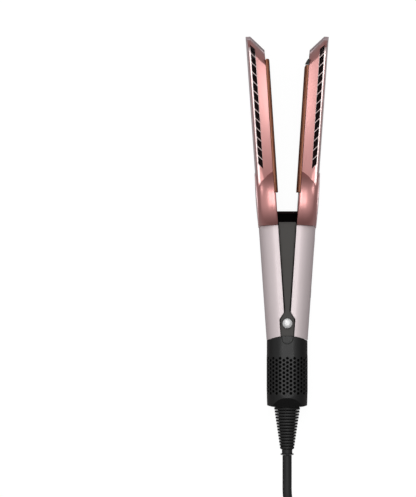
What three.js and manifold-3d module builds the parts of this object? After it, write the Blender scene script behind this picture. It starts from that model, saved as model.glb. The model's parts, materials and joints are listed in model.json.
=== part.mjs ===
// Hot-air flat iron, lying open on its back: two sprung arms on one hinge pin, a spine between
// them, a pull-off filter cage over the fan motor, and a mains lead folded into a tied hank.
// Millimetres. The origin is on the hinge axis, in the plane that the iron lies on.
// +Y runs along the arms to their tips, +X to the right arm, +Z up to the side with the grilles.
// Each arm is drawn closed, as a right arm in its own frame, and then swung open about the pin.
import * as THREE from 'three';
import { mergeVertices } from 'three/addons/utils/BufferGeometryUtils.js';
import Module from 'manifold-3d';

const wasm = await Module();
wasm.setup();

// Driving dimensions
const seatGap = 0.3; // between pieces that touch on the real iron
const openAngle = THREE.MathUtils.degToRad(3.8); // of each arm from the middle plane
const tipY = 259.2; // far end of an arm
const handleDepth = 47; // back to front, at the handle
const workDepth = 53.2; // back to front, at the grilles
const splitZ = 38; // height of the seam between the pale shell and the copper housing
const armHalfWidth = 19.8; // middle plane to the outer face, half way up the arm
const pastX = armHalfWidth + 9; // outside the outer face: cuts and limits reach to here
const footScale = 0.978; // how much narrower the arm is at its foot
const tipScale = 1.02; // how much wider it is at its tip
const armFootY = -10.8; // foot of an arm, at the middle plane
const armFootDrop = 3.2; // how much lower its outer corner hangs
const cornerRadius = 14; // of the long edges
const shellWall = 1.8;
const handleInnerX = 2.5; // middle plane to the edge of a handle half
const workInnerX = 4; // middle plane to the inner face of the working length
const seamY = 88.8; // pale handle front to copper housing
const innerStepY = 117.4; // where the housing's inner face steps back for the guide bars
const notchHalfWidth = 7.05; // of the opening round the hinge eye
const notchShoulderY = 3.7;
const notchNeckY = 9.9;

const housingWall = 1.6;
const rimRadius = 1.2;
const rimInset = 1.6; // from the arm's outer face to the rim of the housing
const landWidth = 4.5; // strip beside the rim that the slots are cut through
const landDrop = 0.6; // of its inner edge below the rim
const landX = armHalfWidth - rimInset - rimRadius - landWidth;
const faceDrop = 6.2; // of the slanting front face, from the rim to its inner edge
const faceInnerZ = workDepth - faceDrop;

const tipSlopeX = armHalfWidth - 3.9; // inside this the tip slants back
const tipSlope = 1.08; // and by this much for each millimetre
const tipBackRadius = 24.2; // of the flat curve at the tip's back
const tipBackY = 22.3; // its centre, below the end
const tipBackZ = 23.2;
const tipBackArc = [-73.3, -23]; // where it starts and ends, in degrees
const tipFrontRadius = 14.5;
const tipFrontTurn = 80; // degrees: the rounding meets the front face in a crease
const tipReach = 90; // length of arm below the tip that the tip's shape is cut over
const capLip = 3; // of the tip cap past the pale shell
const housingTipDrop = 3; // from the far end to the end of the copper housing

const slotCount = 13;
const slotPitch = 8.34;
const slotStartY = 139.8;
const slotRib = 0.9;
const slotWidth = landWidth - 0.5;
const slotSlant = 3;

const bulbY = 110.9;
const bulbZ = workDepth - 25.6;
const bulbInnerX = 2.6;
const bulbRadius = 32.4;
const discY = 111.8;
const discRadius = 25.5;
const discZ = workDepth - discRadius - 0.2;
const discRing = 2.7;
const discChordZ = splitZ - 4.2;
const discOuterX = armHalfWidth + 0.5;
const discThickness = 0.9;

const barInnerX = 0.5;
const barWidth = 3.2;
const barStartY = 118;
const barEndY = 238;
const barDepth = 6;
const frontBarZ = faceInnerZ - 6.4;
const rearBarZ = 3;
const bumperLength = 5.2;

const linerThickness = 1.4;
const airSlitWidth = 2;
const heaterFins = 6;

const pinRadius = 2.5;
const pinHeadRadius = 4.4;
const pinHeadTopZ = handleDepth + 1.9;
const eyeRadius = 6;
const eyeThickness = 2.6;
const runningGap = 0.35;

const spineEndY = 100.6;
const spineHalfWidth = 11.4;
const spineFootHalfWidth = 8.6;
const spineBackZ = 4.8;
const spineWall = 2;
const coverThickness = 1.9;
const coverStartY = 90.8;
const coverHalfWidth = 7.8; // at its wide end
const coverNeckHalfWidth = 2.2;
const coverNeckY = 12.5;
const coverPinHalfWidth = 6.3; // beside the hinge pin
const coverFootHalfWidth = 5.5;
const coverFootY = -15.6;
const coverTopZ = handleDepth - shellWall - 0.6;
const spineFrontZ = coverTopZ - coverThickness - seatGap;

const cageHalfWidth = 18.2;
const cageDepth = handleDepth + 0.8;
const cageWall = 1.6;
const cageTopY = -11.7;
const cageTopDrop = 4; // how much lower its rim is at the sides
const cageBottomY = -75.4;
const cageFloor = 2.2;
const cageHoleRows = 9;
const cageHoleSpacing = 3.2;
const cageHoleRadius = 1.35;
const cageHoleTopY = -29.6;
const cageHolePitch = 4;
const cageChamferZ = 7.4;
const cageChamferY = 9.4;

const axisZ = handleDepth / 2; // height of the motor, strain relief and lead
const motorRadius = 13.7;
const motorWall = 1.4;
const motorTopY = -17.6;
const motorBottomY = -59;
const filterRadius = 16.1;
const filterWall = 0.8;
const shaftRadius = 1.5;
const impellerRadius = 11.4;
const impellerBlades = 9;

const reliefTopRadius = 11.6;
const reliefEndRadius = 6.4;
const reliefCoreRadius = 4.7;
const reliefFins = 14;
const reliefPitch = 2.7;
const reliefFin = 2.1;
const reliefEndY = -118.5;

const lockHalfWidth = 5;
const lockTopY = -8.8;
const lockRoundY = -13.6;
const lockTopZ = handleDepth + 0.4;

const cordRadius = 4.15;
const hankLoops = 6;
const hankLayers = 4;
const hankStep = 9.6;
const hankInnerRadius = 25;
const hankRun = 100;
const hankWaist = 12;
const hankLayerHeight = 8.8;
const hankBaseZ = 5.8;
const hankCentreY = -290;
const hankEndPast = 0.042;
const tieWidth = 18;
const tieThickness = 1.1;
const plugHalfWidth = 12;
const plugHalfHeight = 8;
const plugLength = 33;
const bladeSpacing = 12.7;
const bladeLength = 17;

// Colours and finishes
const finish = (color, roughness, metalness) => new THREE.MeshStandardMaterial({ color, roughness, metalness });
const finishes = {
  paleShell: finish(0xe6d9d2, 0.34, 0.35),
  copper: finish(0xd99c93, 0.3, 0.55),
  mauve: finish(0x8d6468, 0.32, 0.5),
  ring: finish(0xf6d5d6, 0.3, 0.4),
  gold: finish(0x8e6a4c, 0.35, 0.7),
  black: finish(0x161413, 0.5, 0),
  spineGrey: finish(0x474340, 0.45, 0.1),
  cageBlack: finish(0x242424, 0.5, 0),
  steel: finish(0xc9c9c6, 0.25, 0.9),
  silver: finish(0xf2f2ef, 0.2, 0.9),
  board: finish(0x1f4d33, 0.6, 0),
  winding: finish(0xa5622c, 0.45, 0.6),
  rubber: finish(0x151515, 0.75, 0),
  smokedGlass: finish(0x0b0c0e, 0.1, 0),
};

// Solids from closed geometries, for the cuts and joins
function solid(geometry) {
  geometry.deleteAttribute('normal');
  geometry.deleteAttribute('uv');
  const merged = mergeVertices(geometry, 1e-4);
  return new wasm.Manifold(new wasm.Mesh({
    numProp: 3,
    vertProperties: new Float32Array(merged.attributes.position.array),
    triVerts: new Uint32Array(merged.index.array),
  }));
}

function geometryOf(body) {
  const mesh = body.getMesh();
  const geometry = new THREE.BufferGeometry();
  geometry.setAttribute('position', new THREE.BufferAttribute(new Float32Array(mesh.vertProperties), 3));
  geometry.setIndex(new THREE.BufferAttribute(new Uint32Array(mesh.triVerts), 1));
  return geometry;
}

const joined = (first, ...others) => others.reduce((whole, next) => whole.add(next), first);
const cut = (first, ...others) => others.reduce((whole, next) => whole.subtract(next), first);

// Points of an arc, angles in degrees
function arc(x, y, radius, from, to, steps) {
  return Array.from({ length: steps + 1 }, (_, i) => {
    const a = THREE.MathUtils.degToRad(from + (to - from) * i / steps);
    return new THREE.Vector2(x + radius * Math.cos(a), y + radius * Math.sin(a));
  });
}

const at = (x, y) => new THREE.Vector2(x, y);

function extruded(points, depth, holes = []) {
  const shape = new THREE.Shape(points);
  for (const hole of holes) shape.holes.push(new THREE.Path(hole));
  return new THREE.ExtrudeGeometry(shape, { depth, bevelEnabled: false, steps: 1 });
}

// Prisms along each axis: the outline's two numbers are the other two axes, in X, Y, Z order
function prismY(outline, from, to, holes) {
  return extruded(outline, to - from, holes).rotateX(Math.PI / 2).translate(0, to, 0);
}

function prismZ(outline, from, to, holes) {
  return extruded(outline, to - from, holes).translate(0, 0, from);
}

function prismX(outline, from, to, holes) {
  const turn = new THREE.Matrix4().makeBasis(
    new THREE.Vector3(0, 1, 0), new THREE.Vector3(0, 0, 1), new THREE.Vector3(1, 0, 0));
  return extruded(outline, to - from, holes).applyMatrix4(turn).translate(from, 0, 0);
}

const box = (x0, x1, y0, y1, z0, z1) =>
  new THREE.BoxGeometry(x1 - x0, y1 - y0, z1 - z0).translate((x0 + x1) / 2, (y0 + y1) / 2, (z0 + z1) / 2);

const rectangle = (x0, x1, y0, y1) => [at(x0, y0), at(x1, y0), at(x1, y1), at(x0, y1)];

function roundedRectangle(x0, x1, y0, y1, radius, steps) {
  return [
    ...arc(x1 - radius, y0 + radius, radius, -90, 0, steps),
    ...arc(x1 - radius, y1 - radius, radius, 0, 90, steps),
    ...arc(x0 + radius, y1 - radius, radius, 90, 180, steps),
    ...arc(x0 + radius, y0 + radius, radius, 180, 270, steps),
  ];
}

const circle = (x, y, radius, steps) => arc(x, y, radius, 0, 360 - 360 / steps, steps - 1);

// Revolved pieces: the profile is [radius, place along the axis]
const revolved = (profile, steps) => new THREE.LatheGeometry(profile.map(([r, s]) => at(r, s)), steps);
const onLeadAxis = (profile, steps) => revolved(profile, steps).translate(0, 0, axisZ);
const onHingeAxis = (profile, steps) => revolved(profile, steps).rotateX(Math.PI / 2);

// An arm is slightly narrower at its foot than at its tip
function tapered(geometry) {
  const place = geometry.attributes.position;
  for (let i = 0; i < place.count; i++) {
    const along = (place.getY(i) - armFootY) / (tipY - armFootY);
    place.setX(i, place.getX(i) * THREE.MathUtils.lerp(footScale, tipScale, along));
  }
  return geometry;
}

// The handle's section, looking along Y: x outwards from past the middle plane, z from the back
function handleSection(inset) {
  const x = armHalfWidth - cornerRadius;
  const radius = cornerRadius - inset;
  return [
    at(-3, inset),
    ...arc(x, cornerRadius, radius, -90, 0, 7),
    ...arc(x, handleDepth - cornerRadius, radius, 0, 90, 7),
    at(-3, handleDepth - inset),
  ];
}

// The copper housing's section: flank, rim, land and slanting front face
function housingSection(innerX, inset, lowZ) {
  const arcX = armHalfWidth - cornerRadius;
  const arcZ = handleDepth - cornerRadius;
  const seamX = arcX + Math.sqrt(cornerRadius ** 2 - (splitZ - arcZ) ** 2);
  const rimX = armHalfWidth - rimInset;
  const rim = Math.max(rimRadius - inset, 0.2);
  return [
    at(innerX + inset, lowZ),
    at(seamX - inset, lowZ),
    at(seamX - inset, splitZ),
    at(rimX + 0.55 - inset, splitZ + 4.6),
    at(rimX + 0.12 - inset, splitZ + 9),
    ...arc(rimX - inset - rim, workDepth - inset - rim, rim, 0, 90, 3),
    at(landX, workDepth - landDrop - inset),
    at(innerX + inset, faceInnerZ - inset),
  ];
}

// What lies below the tip. It slants back inwards. Its profile has a flat curve at the back, and
// front points given as [distance below the end, z], which sink with the slanting front face.
function belowTip(drop, front) {
  const topY = tipY - drop;
  const foot = tipY - tipReach;
  const back = arc(topY - tipBackY, tipBackZ, tipBackRadius, ...tipBackArc, 6);
  const outline = [
    at(foot, -1),
    at(back[0].x, -1),
    ...back,
    ...front.map(([below, z]) => at(topY - below, z)),
    at(foot, front.at(-1)[1]),
  ];
  const sink = (x) => (x > landX
    ? landDrop * Math.max(tipSlopeX - x, 0) / (tipSlopeX - landX)
    : landDrop + (faceDrop - landDrop) * (landX - x) / (landX - workInnerX));
  const span = (from, to) => {
    const prism = prismX(outline, from, to);
    const place = prism.attributes.position;
    for (let i = 0; i < place.count; i++) {
      place.setY(i, place.getY(i) - tipSlope * Math.max(tipSlopeX - place.getX(i), 0));
      if (place.getZ(i) > splitZ - 5) place.setZ(i, place.getZ(i) - sink(place.getX(i)));
    }
    return solid(prism);
  };
  return joined(span(-1, landX), span(landX, tipSlopeX), span(tipSlopeX, pastX));
}

// Front of the tip's profile at the copper housing: rounded, with a crease where it starts
function roundedFront(radius, frontZ) {
  const turn = THREE.MathUtils.degToRad(tipFrontTurn);
  const centreZ = frontZ - radius * Math.sin(turn);
  const curve = arc(-radius, centreZ, radius, 0, tipFrontTurn, 6).map(({ x, y }) => [-x, y]);
  return [...curve, [radius * (1 - Math.cos(turn)), frontZ + 9]];
}

// Front of the tip's profile at the pale shell and its cap: a small bevel beside the seam
const bevelledFront = [[0, splitZ - 4.2], [2.7, splitZ], [2.7, workDepth + 40]];

const footRegion = solid(box(-2, pastX, armFootY - 20, tipY - tipReach + 1, -2, workDepth + 12));

function discOutline(radius, chordZ) {
  const half = THREE.MathUtils.radToDeg(Math.acos((chordZ - discZ) / radius));
  return arc(discY, discZ, radius, 90 - half, 90 + half, 24);
}

const discPocket = () => solid(prismX(discOutline(discRadius + seatGap, discChordZ - seatGap),
  discOuterX - discThickness - seatGap, armHalfWidth + 5));

function paleShell() {
  const outside = solid(prismY(handleSection(0), armFootY - 8, tipY - capLip))
    .intersect(solid(box(handleInnerX, pastX, armFootY - 9, tipY, -1, handleDepth + 1)));
  const hollow = solid(prismY(handleSection(shellWall), armFootY - 9, tipY));
  const frontOff = solid(box(-1, pastX, seamY - seatGap / 2, tipY + 5, splitZ - seatGap / 2, workDepth + 9));
  const foot = solid(prismZ([
    at(-1, 2 * armFootY),
    at(pastX, 2 * armFootY),
    ...Array.from({ length: 9 }, (_, i) => {
      const x = pastX * (1 - i / 8);
      return at(x, armFootY - armFootDrop * (x / armHalfWidth) ** 2);
    }),
  ], -2, handleDepth + 2));
  const notch = solid(prismZ([
    at(-1, armFootY - 20),
    at(notchHalfWidth, armFootY - 20),
    ...arc(notchHalfWidth - 1.6, notchShoulderY, 1.6, 0, 60, 3),
    at(handleInnerX + 0.6, notchNeckY - 0.7),
    at(handleInnerX, notchNeckY + 0.6),
    at(-1, notchNeckY + 0.6),
  ], -2, handleDepth + 2));
  const whole = cut(outside, hollow, frontOff, foot, notch, discPocket());
  return whole.intersect(joined(belowTip(capLip, bevelledFront), footRegion));
}

// The rounded bulge beside the hinge end of the housing, revolved about a line across the arm
function bulb(inset) {
  const inner = bulbInnerX + inset;
  const outer = discOuterX - discThickness - seatGap - inset;
  const radius = bulbRadius - inset;
  const across = (share) => THREE.MathUtils.lerp(inner, outer, share);
  const profile = [
    [0, inner], [radius - 0.9, inner], [radius, inner + 1.2], [radius - 0.1, across(0.3)],
    [radius - 0.4, across(0.5)], [radius - 1.3, across(0.7)], [radius - 3, across(0.87)],
    [radius - 6, outer], [0, outer],
  ];
  return solid(revolved(profile, 36).rotateZ(-Math.PI / 2).translate(0, bulbY, bulbZ));
}

function frontHousing() {
  const low = splitZ + seatGap / 2;
  const handleFront = (inset, lowZ) => solid(prismY(handleSection(inset), seamY - 4, innerStepY - 2))
    .intersect(solid(box(bulbInnerX + inset, pastX, seamY - 5, innerStepY, lowZ, workDepth)));
  const front = (inset, lowZ) => cut(
    joined(
      solid(prismY(housingSection(workInnerX, inset, lowZ), innerStepY - 4, tipY + 4)),
      handleFront(inset, lowZ),
      bulb(inset)),
    solid(box(-2, workInnerX + inset, innerStepY - inset, tipY, 0, workDepth + 12)));
  const region = solid(box(-1, pastX, seamY + seatGap / 2, tipY + 4, low, bulbZ + bulbRadius + 5));
  const hollowRegion = solid(box(-1, pastX, seamY + seatGap / 2 + housingWall, tipY + 4, low - 5,
    bulbZ + bulbRadius + 5));
  const outside = front(0, low - 2)
    .intersect(region)
    .intersect(joined(belowTip(housingTipDrop, roundedFront(tipFrontRadius, workDepth)), footRegion));
  const hollow = front(housingWall, low - 6)
    .intersect(hollowRegion)
    .intersect(joined(belowTip(housingTipDrop + housingWall,
      roundedFront(tipFrontRadius - housingWall, workDepth - housingWall)), footRegion));
  const slots = Array.from({ length: slotCount }, (_, i) => {
    const x0 = landX;
    const x1 = landX + slotWidth;
    const y0 = slotStartY + i * slotPitch;
    const y1 = y0 + slotPitch - slotRib;
    return solid(prismZ([at(x0, y0), at(x1, y0 + slotSlant), at(x1, y1 + slotSlant), at(x0, y1)],
      workDepth - housingWall - 2.6, workDepth + 3));
  });
  const forSpine = solid(box(-1, spineHalfWidth + 2.4, seamY - 5, spineEndY + 2, low - 5, spineFrontZ + 0.8));
  const forCover = solid(box(-1, coverHalfWidth + 1.4, seamY - 5, coverStartY + 1, low - 5, coverTopZ + 0.6));
  return cut(outside, hollow, forSpine, forCover, discPocket(), ...slots);
}

// The lip past the pale shell, all across the arm
function tipCap() {
  const body = solid(prismY(handleSection(0), tipY - tipReach, tipY + 4))
    .intersect(solid(box(workInnerX, pastX, 0, tipY + 9, -3, splitZ - seatGap / 2)))
    .intersect(belowTip(0, bevelledFront));
  return cut(body, belowTip(capLip - seatGap, bevelledFront));
}

function innerPlate() {
  const plate = solid(box(workInnerX, workInnerX + linerThickness, innerStepY - 14, tipY,
    shellWall + seatGap, splitZ - seatGap));
  const slit = solid(box(workInnerX - 1, workInnerX + 5, barStartY + 4, barEndY - 8,
    axisZ - airSlitWidth / 2, axisZ + airSlitWidth / 2));
  const below = joined(belowTip(capLip + seatGap, bevelledFront), footRegion);
  return cut(plate, slit).intersect(below);
}

function guideBar(lowZ, endY) {
  const radius = 1.5;
  const x0 = barInnerX;
  const x1 = barInnerX + barWidth;
  return solid(prismZ([
    at(x0, barStartY), at(x1, barStartY), at(x1, endY),
    ...arc(x0 + radius, endY - radius, radius, 90, 180, 4),
  ], lowZ, lowZ + barDepth));
}

function bumper(fromY) {
  const x1 = barInnerX + barWidth;
  return solid(prismZ([
    at(barInnerX, fromY), at(x1, fromY), at(x1, fromY + bumperLength),
    at(x1 - 1, fromY + bumperLength), at(barInnerX + 0.5, fromY + bumperLength - 3.4),
    at(barInnerX, fromY + bumperLength - 4.6),
  ], frontBarZ, frontBarZ + barDepth));
}

// A strip under the slots, following the housing's inner face
function ductLiner() {
  const x1 = armHalfWidth - rimInset - housingWall - 0.6;
  const top = workDepth - landDrop - housingWall - seatGap;
  const drop = (faceDrop - landDrop) / (landX - workInnerX - housingWall) * 4;
  return solid(prismY([
    at(landX - 4, top - drop - linerThickness - 0.5), at(landX, top - linerThickness),
    at(x1, top - linerThickness), at(x1, top), at(landX - 0.4, top - 0.5), at(landX - 4, top - drop - 0.7),
  ], slotStartY - 4, tipY - 21));
}

function heater() {
  const x0 = workInnerX + linerThickness + seatGap;
  const x1 = armHalfWidth - shellWall - seatGap;
  const base = solid(box(x0, x0 + 2.4, barStartY + 8, barEndY - 10, axisZ + 3, axisZ + 13));
  const pitch = (barEndY - barStartY - 26) / (heaterFins - 1);
  const fins = Array.from({ length: heaterFins }, (_, i) => {
    const y = barStartY + 11 + i * pitch;
    return solid(box(x0 + 2, x1, y, y + 2, axisZ + 4, axisZ + 8));
  });
  return joined(base, ...fins);
}

const discRingPiece = () => {
  const inner = discOutline(discRadius - discRing, discChordZ + 0.6);
  return solid(prismX(discOutline(discRadius, discChordZ), discOuterX - discThickness, discOuterX, [inner]));
};

const discInlay = () => solid(prismX(discOutline(discRadius - discRing - seatGap, discChordZ + 0.6 + seatGap),
  discOuterX - discThickness, discOuterX - 0.1));

// An arm's bracket: two eyes on the pin, joined by a cheek, and a rib out to the shell
function armBracket(frontEyeZ, backEyeZ) {
  const cheekX = spineFootHalfWidth + 3.5;
  const ribX = (armHalfWidth - shellWall) * footScale - seatGap;
  const hole = circle(0, 0, pinRadius + runningGap, 20);
  const eye = (z) => solid(prismZ([
    ...arc(0, 0, eyeRadius, 90, 270, 10),
    at(cheekX - 0.4, -eyeRadius + 1.5), at(cheekX - 0.4, eyeRadius + 3),
  ], z, z + eyeThickness, [hole]));
  const cheek = solid(box(cheekX - 1.8, cheekX, -eyeRadius + 1.5, eyeRadius + 26, backEyeZ,
    frontEyeZ + eyeThickness));
  const rib = solid(box(cheekX - 0.5, ribX, -eyeRadius + 3, eyeRadius + 11, axisZ - 4, axisZ + 4));
  return joined(eye(frontEyeZ), eye(backEyeZ), cheek, rib);
}

const bodies = [];

function mesh(name, geometry, material, parent) {
  const piece = new THREE.Mesh(geometry, material);
  piece.name = name;
  parent.add(piece);
  bodies.push(piece);
  return piece;
}

// A right arm's geometry, or its mirror image for the left arm
function sided(geometry, side) {
  if (side > 0) return geometry;
  const mirrored = geometry.clone().scale(-1, 1, 1);
  const index = mirrored.index.array;
  for (let i = 0; i < index.length; i += 3) [index[i], index[i + 1]] = [index[i + 1], index[i]];
  return mirrored;
}

const frontEyeZ = spineFrontZ - 2.9;
const backEyeZ = spineBackZ + 0.4;
const eyeStep = eyeThickness + runningGap;

// Controls in the outer face of the right arm
const controls = {
  window: { y: 52, halfLength: 12, halfWidth: 5, radius: 2 },
  power_button: { y: 28, halfLength: 4.5, halfWidth: 4.5, radius: 4.4 },
  heat_button: { y: 74, halfLength: 5, halfWidth: 3, radius: 2.9 },
  airflow_button: { y: 90, halfLength: 5, halfWidth: 3, radius: 2.9 },
};
const buttonProud = 0.2;
const buttonClearance = 0.35;

function controlPrism(control, grow, from, to) {
  const { y, halfLength, halfWidth, radius } = control;
  return solid(prismX(roundedRectangle(y - halfLength - grow, y + halfLength + grow,
    axisZ - halfWidth - grow, axisZ + halfWidth + grow, radius + grow, 4), from, to));
}

function rightShell() {
  const openings = Object.values(controls).map((control) =>
    controlPrism(control, buttonClearance, armHalfWidth - 6, armHalfWidth + 3));
  return cut(paleShell(), ...openings);
}

function button(control) {
  const stem = controlPrism(control, 0, armHalfWidth - shellWall - 0.8, armHalfWidth + buttonProud);
  const flange = controlPrism(control, 0.9, armHalfWidth - shellWall - 1.3, armHalfWidth - shellWall - seatGap);
  return joined(stem, flange);
}

function arm(side, group) {
  const name = side > 0 ? 'right' : 'left';
  const add = (what, body, material, taper = true) => {
    const geometry = geometryOf(body);
    return mesh(`${what}_${name}`, sided(taper ? tapered(geometry) : geometry, side), material, group);
  };
  add('shell', side > 0 ? rightShell() : paleShell(), finishes.paleShell);
  add('front_housing', frontHousing(), finishes.copper);
  add('tip_cap', tipCap(), finishes.mauve);
  add('inner_plate', innerPlate(), finishes.black);
  const barTop = side > 0 ? barEndY - bumperLength - seatGap : barEndY;
  add('front_guide_bar', guideBar(frontBarZ, barTop), finishes.gold);
  add('rear_guide_bar', guideBar(rearBarZ, barTop), finishes.gold);
  add('duct_liner', ductLiner(), finishes.black);
  add('heater', heater(), finishes.steel);
  add('disc_ring', discRingPiece(), finishes.ring);
  add('disc_inlay', discInlay(), finishes.paleShell);
  const shift = side > 0 ? 0 : eyeStep;
  add('hinge_bracket', armBracket(frontEyeZ - shift, backEyeZ + shift), finishes.black, false);
  if (side > 0) {
    mesh('bar_bumper', tapered(geometryOf(bumper(barTop + seatGap))), finishes.rubber, group);
    const glass = controlPrism(controls.window, 0, armHalfWidth - shellWall, armHalfWidth - 0.1);
    mesh('display_window', tapered(geometryOf(glass)), finishes.smokedGlass, group);
    for (const which of ['power_button', 'heat_button', 'airflow_button']) {
      mesh(which, tapered(geometryOf(button(controls[which]))), finishes.cageBlack, group);
    }
  }
  group.rotation.z = -side * openAngle;
}

// The spine: a tub between the arms, cut down round the pin for the arms' eyes
function spineOutline(inset) {
  return [
    at(-spineFootHalfWidth + inset, -16 + inset), at(spineFootHalfWidth - inset, -16 + inset),
    at(spineFootHalfWidth - inset, 12), at(spineHalfWidth - inset, spineEndY - inset),
    at(-spineHalfWidth + inset, spineEndY - inset), at(-spineFootHalfWidth + inset, 12),
  ];
}

const endPlateHalfWidth = cageHalfWidth - 2.9;
const endPlateHalfDepth = axisZ - 6.9;

function coreFrame() {
  const tub = solid(prismZ(spineOutline(0), spineBackZ, spineFrontZ));
  const hollow = solid(prismZ(spineOutline(spineWall), spineBackZ + spineWall, spineFrontZ + 5));
  const eyeLow = backEyeZ + 2 * eyeStep;
  const eyeHigh = frontEyeZ - eyeStep - runningGap;
  const reach = eyeRadius + 2.6;
  const frontCut = solid(box(-30, 30, -reach, reach + 4, eyeHigh, spineFrontZ + 5));
  const backCut = solid(box(-30, 30, -reach, reach + 4, spineBackZ - 5, eyeLow));
  const post = solid(prismZ(circle(0, 0, pinRadius + 2.4, 20), eyeLow, eyeHigh));
  const floor = solid(box(-spineFootHalfWidth, spineFootHalfWidth, -reach - 2, reach + 6, eyeLow,
    eyeLow + spineWall));
  const endStep = solid(box(-30, 30, coverStartY, spineEndY + 5, spineFrontZ - 4, spineFrontZ + 5));
  const endPlate = solid(prismY(roundedRectangle(-endPlateHalfWidth, endPlateHalfWidth, axisZ - endPlateHalfDepth,
    axisZ + endPlateHalfDepth, 12, 6), motorTopY + 1, motorTopY + 3.4));
  const pinHole = solid(prismZ(circle(0, 0, pinRadius + runningGap, 20), -5, handleDepth));
  const wires = solid(prismY(circle(0, axisZ, 4, 16), -20, -12));
  return cut(joined(cut(tub, hollow, frontCut, backCut), post, floor, endPlate), pinHole, endStep, wires);
}

// The cover over the spine: narrow above the pin, wider round it, and a tongue under the lock
function spineCover() {
  const bottom = spineFrontZ + seatGap;
  const right = [
    at(coverFootHalfWidth, coverFootY),
    ...arc(coverPinHalfWidth - 2.1, notchShoulderY - 0.5, 2.1, 0, 50, 3),
    at(coverNeckHalfWidth + 0.1, coverNeckY - 2), at(coverNeckHalfWidth, coverNeckY),
    at(coverHalfWidth, coverStartY - 0.4), at(coverHalfWidth - 0.4, coverStartY),
  ];
  const outline = [...right, ...right.map(({ x, y }) => at(-x, y)).reverse()];
  return solid(prismZ(outline, bottom, bottom + coverThickness, [circle(0, 0, pinRadius + runningGap, 20)]));
}

function backCover() {
  const outline = [
    at(coverNeckHalfWidth, coverNeckY), at(coverHalfWidth, coverStartY), at(-coverHalfWidth, coverStartY),
    at(-coverNeckHalfWidth, coverNeckY),
    at(-5.3, 4), at(-5.3, -10.4), at(5.3, -10.4), at(5.3, 4),
  ];
  return solid(prismZ(outline, spineBackZ - seatGap - coverThickness, spineBackZ - seatGap,
    [circle(0, 0, pinRadius + runningGap, 20)]));
}

const pinHead = coverTopZ + 1.5;

const hingePin = () => onHingeAxis([
  [0, 0], [pinHeadRadius - 0.3, 0], [pinHeadRadius, 0.3], [pinHeadRadius, 2.2], [pinRadius, 2.2],
  [pinRadius, pinHead], [pinHeadRadius, pinHead], [pinHeadRadius - 0.1, pinHead + 0.7],
  [pinHeadRadius - 0.9, pinHeadTopZ - 0.7], [pinHeadRadius - 2.3, pinHeadTopZ - 0.15], [0, pinHeadTopZ],
], 18);

const pinWasher = () => onHingeAxis([
  [pinRadius + runningGap, coverTopZ + seatGap], [pinHeadRadius + 0.4, coverTopZ + seatGap],
  [pinHeadRadius + 0.2, pinHead - 0.25], [pinRadius + runningGap, pinHead - 0.25],
  [pinRadius + runningGap, coverTopZ + seatGap],
], 18);

function lockSlider() {
  return solid(prismZ([
    at(lockHalfWidth - 0.8, lockTopY), at(-lockHalfWidth + 0.8, lockTopY), at(-lockHalfWidth, lockTopY - 0.8),
    ...arc(0, lockRoundY, lockHalfWidth, 180, 360, 12), at(lockHalfWidth, lockTopY - 0.8),
  ], coverTopZ + seatGap, lockTopZ));
}

// The filter cage: an open-topped cup round the motor, notched for the lock
function cageSection(inset) {
  return roundedRectangle(-cageHalfWidth + inset, cageHalfWidth - inset, inset, cageDepth - inset,
    cornerRadius - inset, 7);
}

function cageProfile(inset) {
  const bottom = cageBottomY + (inset ? cageFloor : 0);
  const chamfer = inset ? 0.35 * cageWall : 0;
  return [
    at(20, inset), at(20, cageDepth - inset),
    at(cageBottomY + cageChamferY + chamfer, cageDepth - inset),
    at(bottom, cageDepth - inset - cageChamferZ + (bottom - cageBottomY) * cageChamferZ / cageChamferY),
    at(bottom, inset + cageChamferZ - (bottom - cageBottomY) * cageChamferZ / cageChamferY),
    at(cageBottomY + cageChamferY + chamfer, inset),
  ];
}

// Places round the cage's section, half way through the wall, with the direction outwards.
// Each lies in the middle of a flat, so that no hole crosses a corner of the section.
function cagePlaces() {
  const section = cageSection(cageWall / 2);
  return section.flatMap((corner, i) => {
    const next = section[(i + 1) % section.length];
    const along = next.clone().sub(corner);
    const count = Math.max(1, Math.round(along.length() / cageHoleSpacing));
    return Array.from({ length: count }, (_, k) => ({
      place: corner.clone().lerp(next, (k + 0.5) / count),
      turn: Math.atan2(-along.x, along.y),
    }));
  });
}

function cageHoles() {
  const places = cagePlaces();
  const rows = Array.from({ length: cageHoleRows }, (_, row) => {
    const y = cageHoleTopY - row * cageHolePitch;
    const drills = places.filter((_, k) => k % 2 === row % 2).map(({ place, turn }) => {
      const drill = prismZ(circle(0, 0, cageHoleRadius, 4), -cageWall * 1.6, cageWall * 1.6);
      drill.rotateY(Math.PI / 2 - turn);
      return solid(drill.translate(place.x, y, place.y));
    });
    return joined(...drills);
  });
  return joined(...rows);
}

function filterCage() {
  const outside = solid(prismY(cageSection(0), cageBottomY, 0))
    .intersect(solid(prismX(cageProfile(0), -30, 30)));
  const hollow = solid(prismY(cageSection(cageWall), cageBottomY + cageFloor, 1))
    .intersect(solid(prismX(cageProfile(cageWall), -30, 30)));
  const rimCut = solid(prismZ([
    at(30, 9), at(-30, 9),
    ...Array.from({ length: 17 }, (_, i) => {
      const x = -28 + 3.5 * i;
      return at(x, cageTopY - cageTopDrop * (x / cageHalfWidth) ** 2);
    }),
  ], -5, cageDepth + 5));
  const lockNotch = solid(prismZ([
    at(lockHalfWidth + seatGap, 5), at(-lockHalfWidth - seatGap, 5),
    ...arc(0, lockRoundY, lockHalfWidth + seatGap, 180, 360, 12),
  ], cageDepth - cageWall - 3, cageDepth + 3));
  const reliefHole = solid(prismY(circle(0, axisZ, reliefTopRadius + 0.7, 24), cageBottomY - 5, cageBottomY + 9));
  return cut(outside, hollow, rimCut, lockNotch, reliefHole, cageHoles());
}

// The fan motor on the lead's axis, and what surrounds it
const ring = (outer, inner, from, to, steps = 28) => onLeadAxis([
  [inner, from], [outer, from], [outer, to], [inner, to], [inner, from],
], steps);

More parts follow.
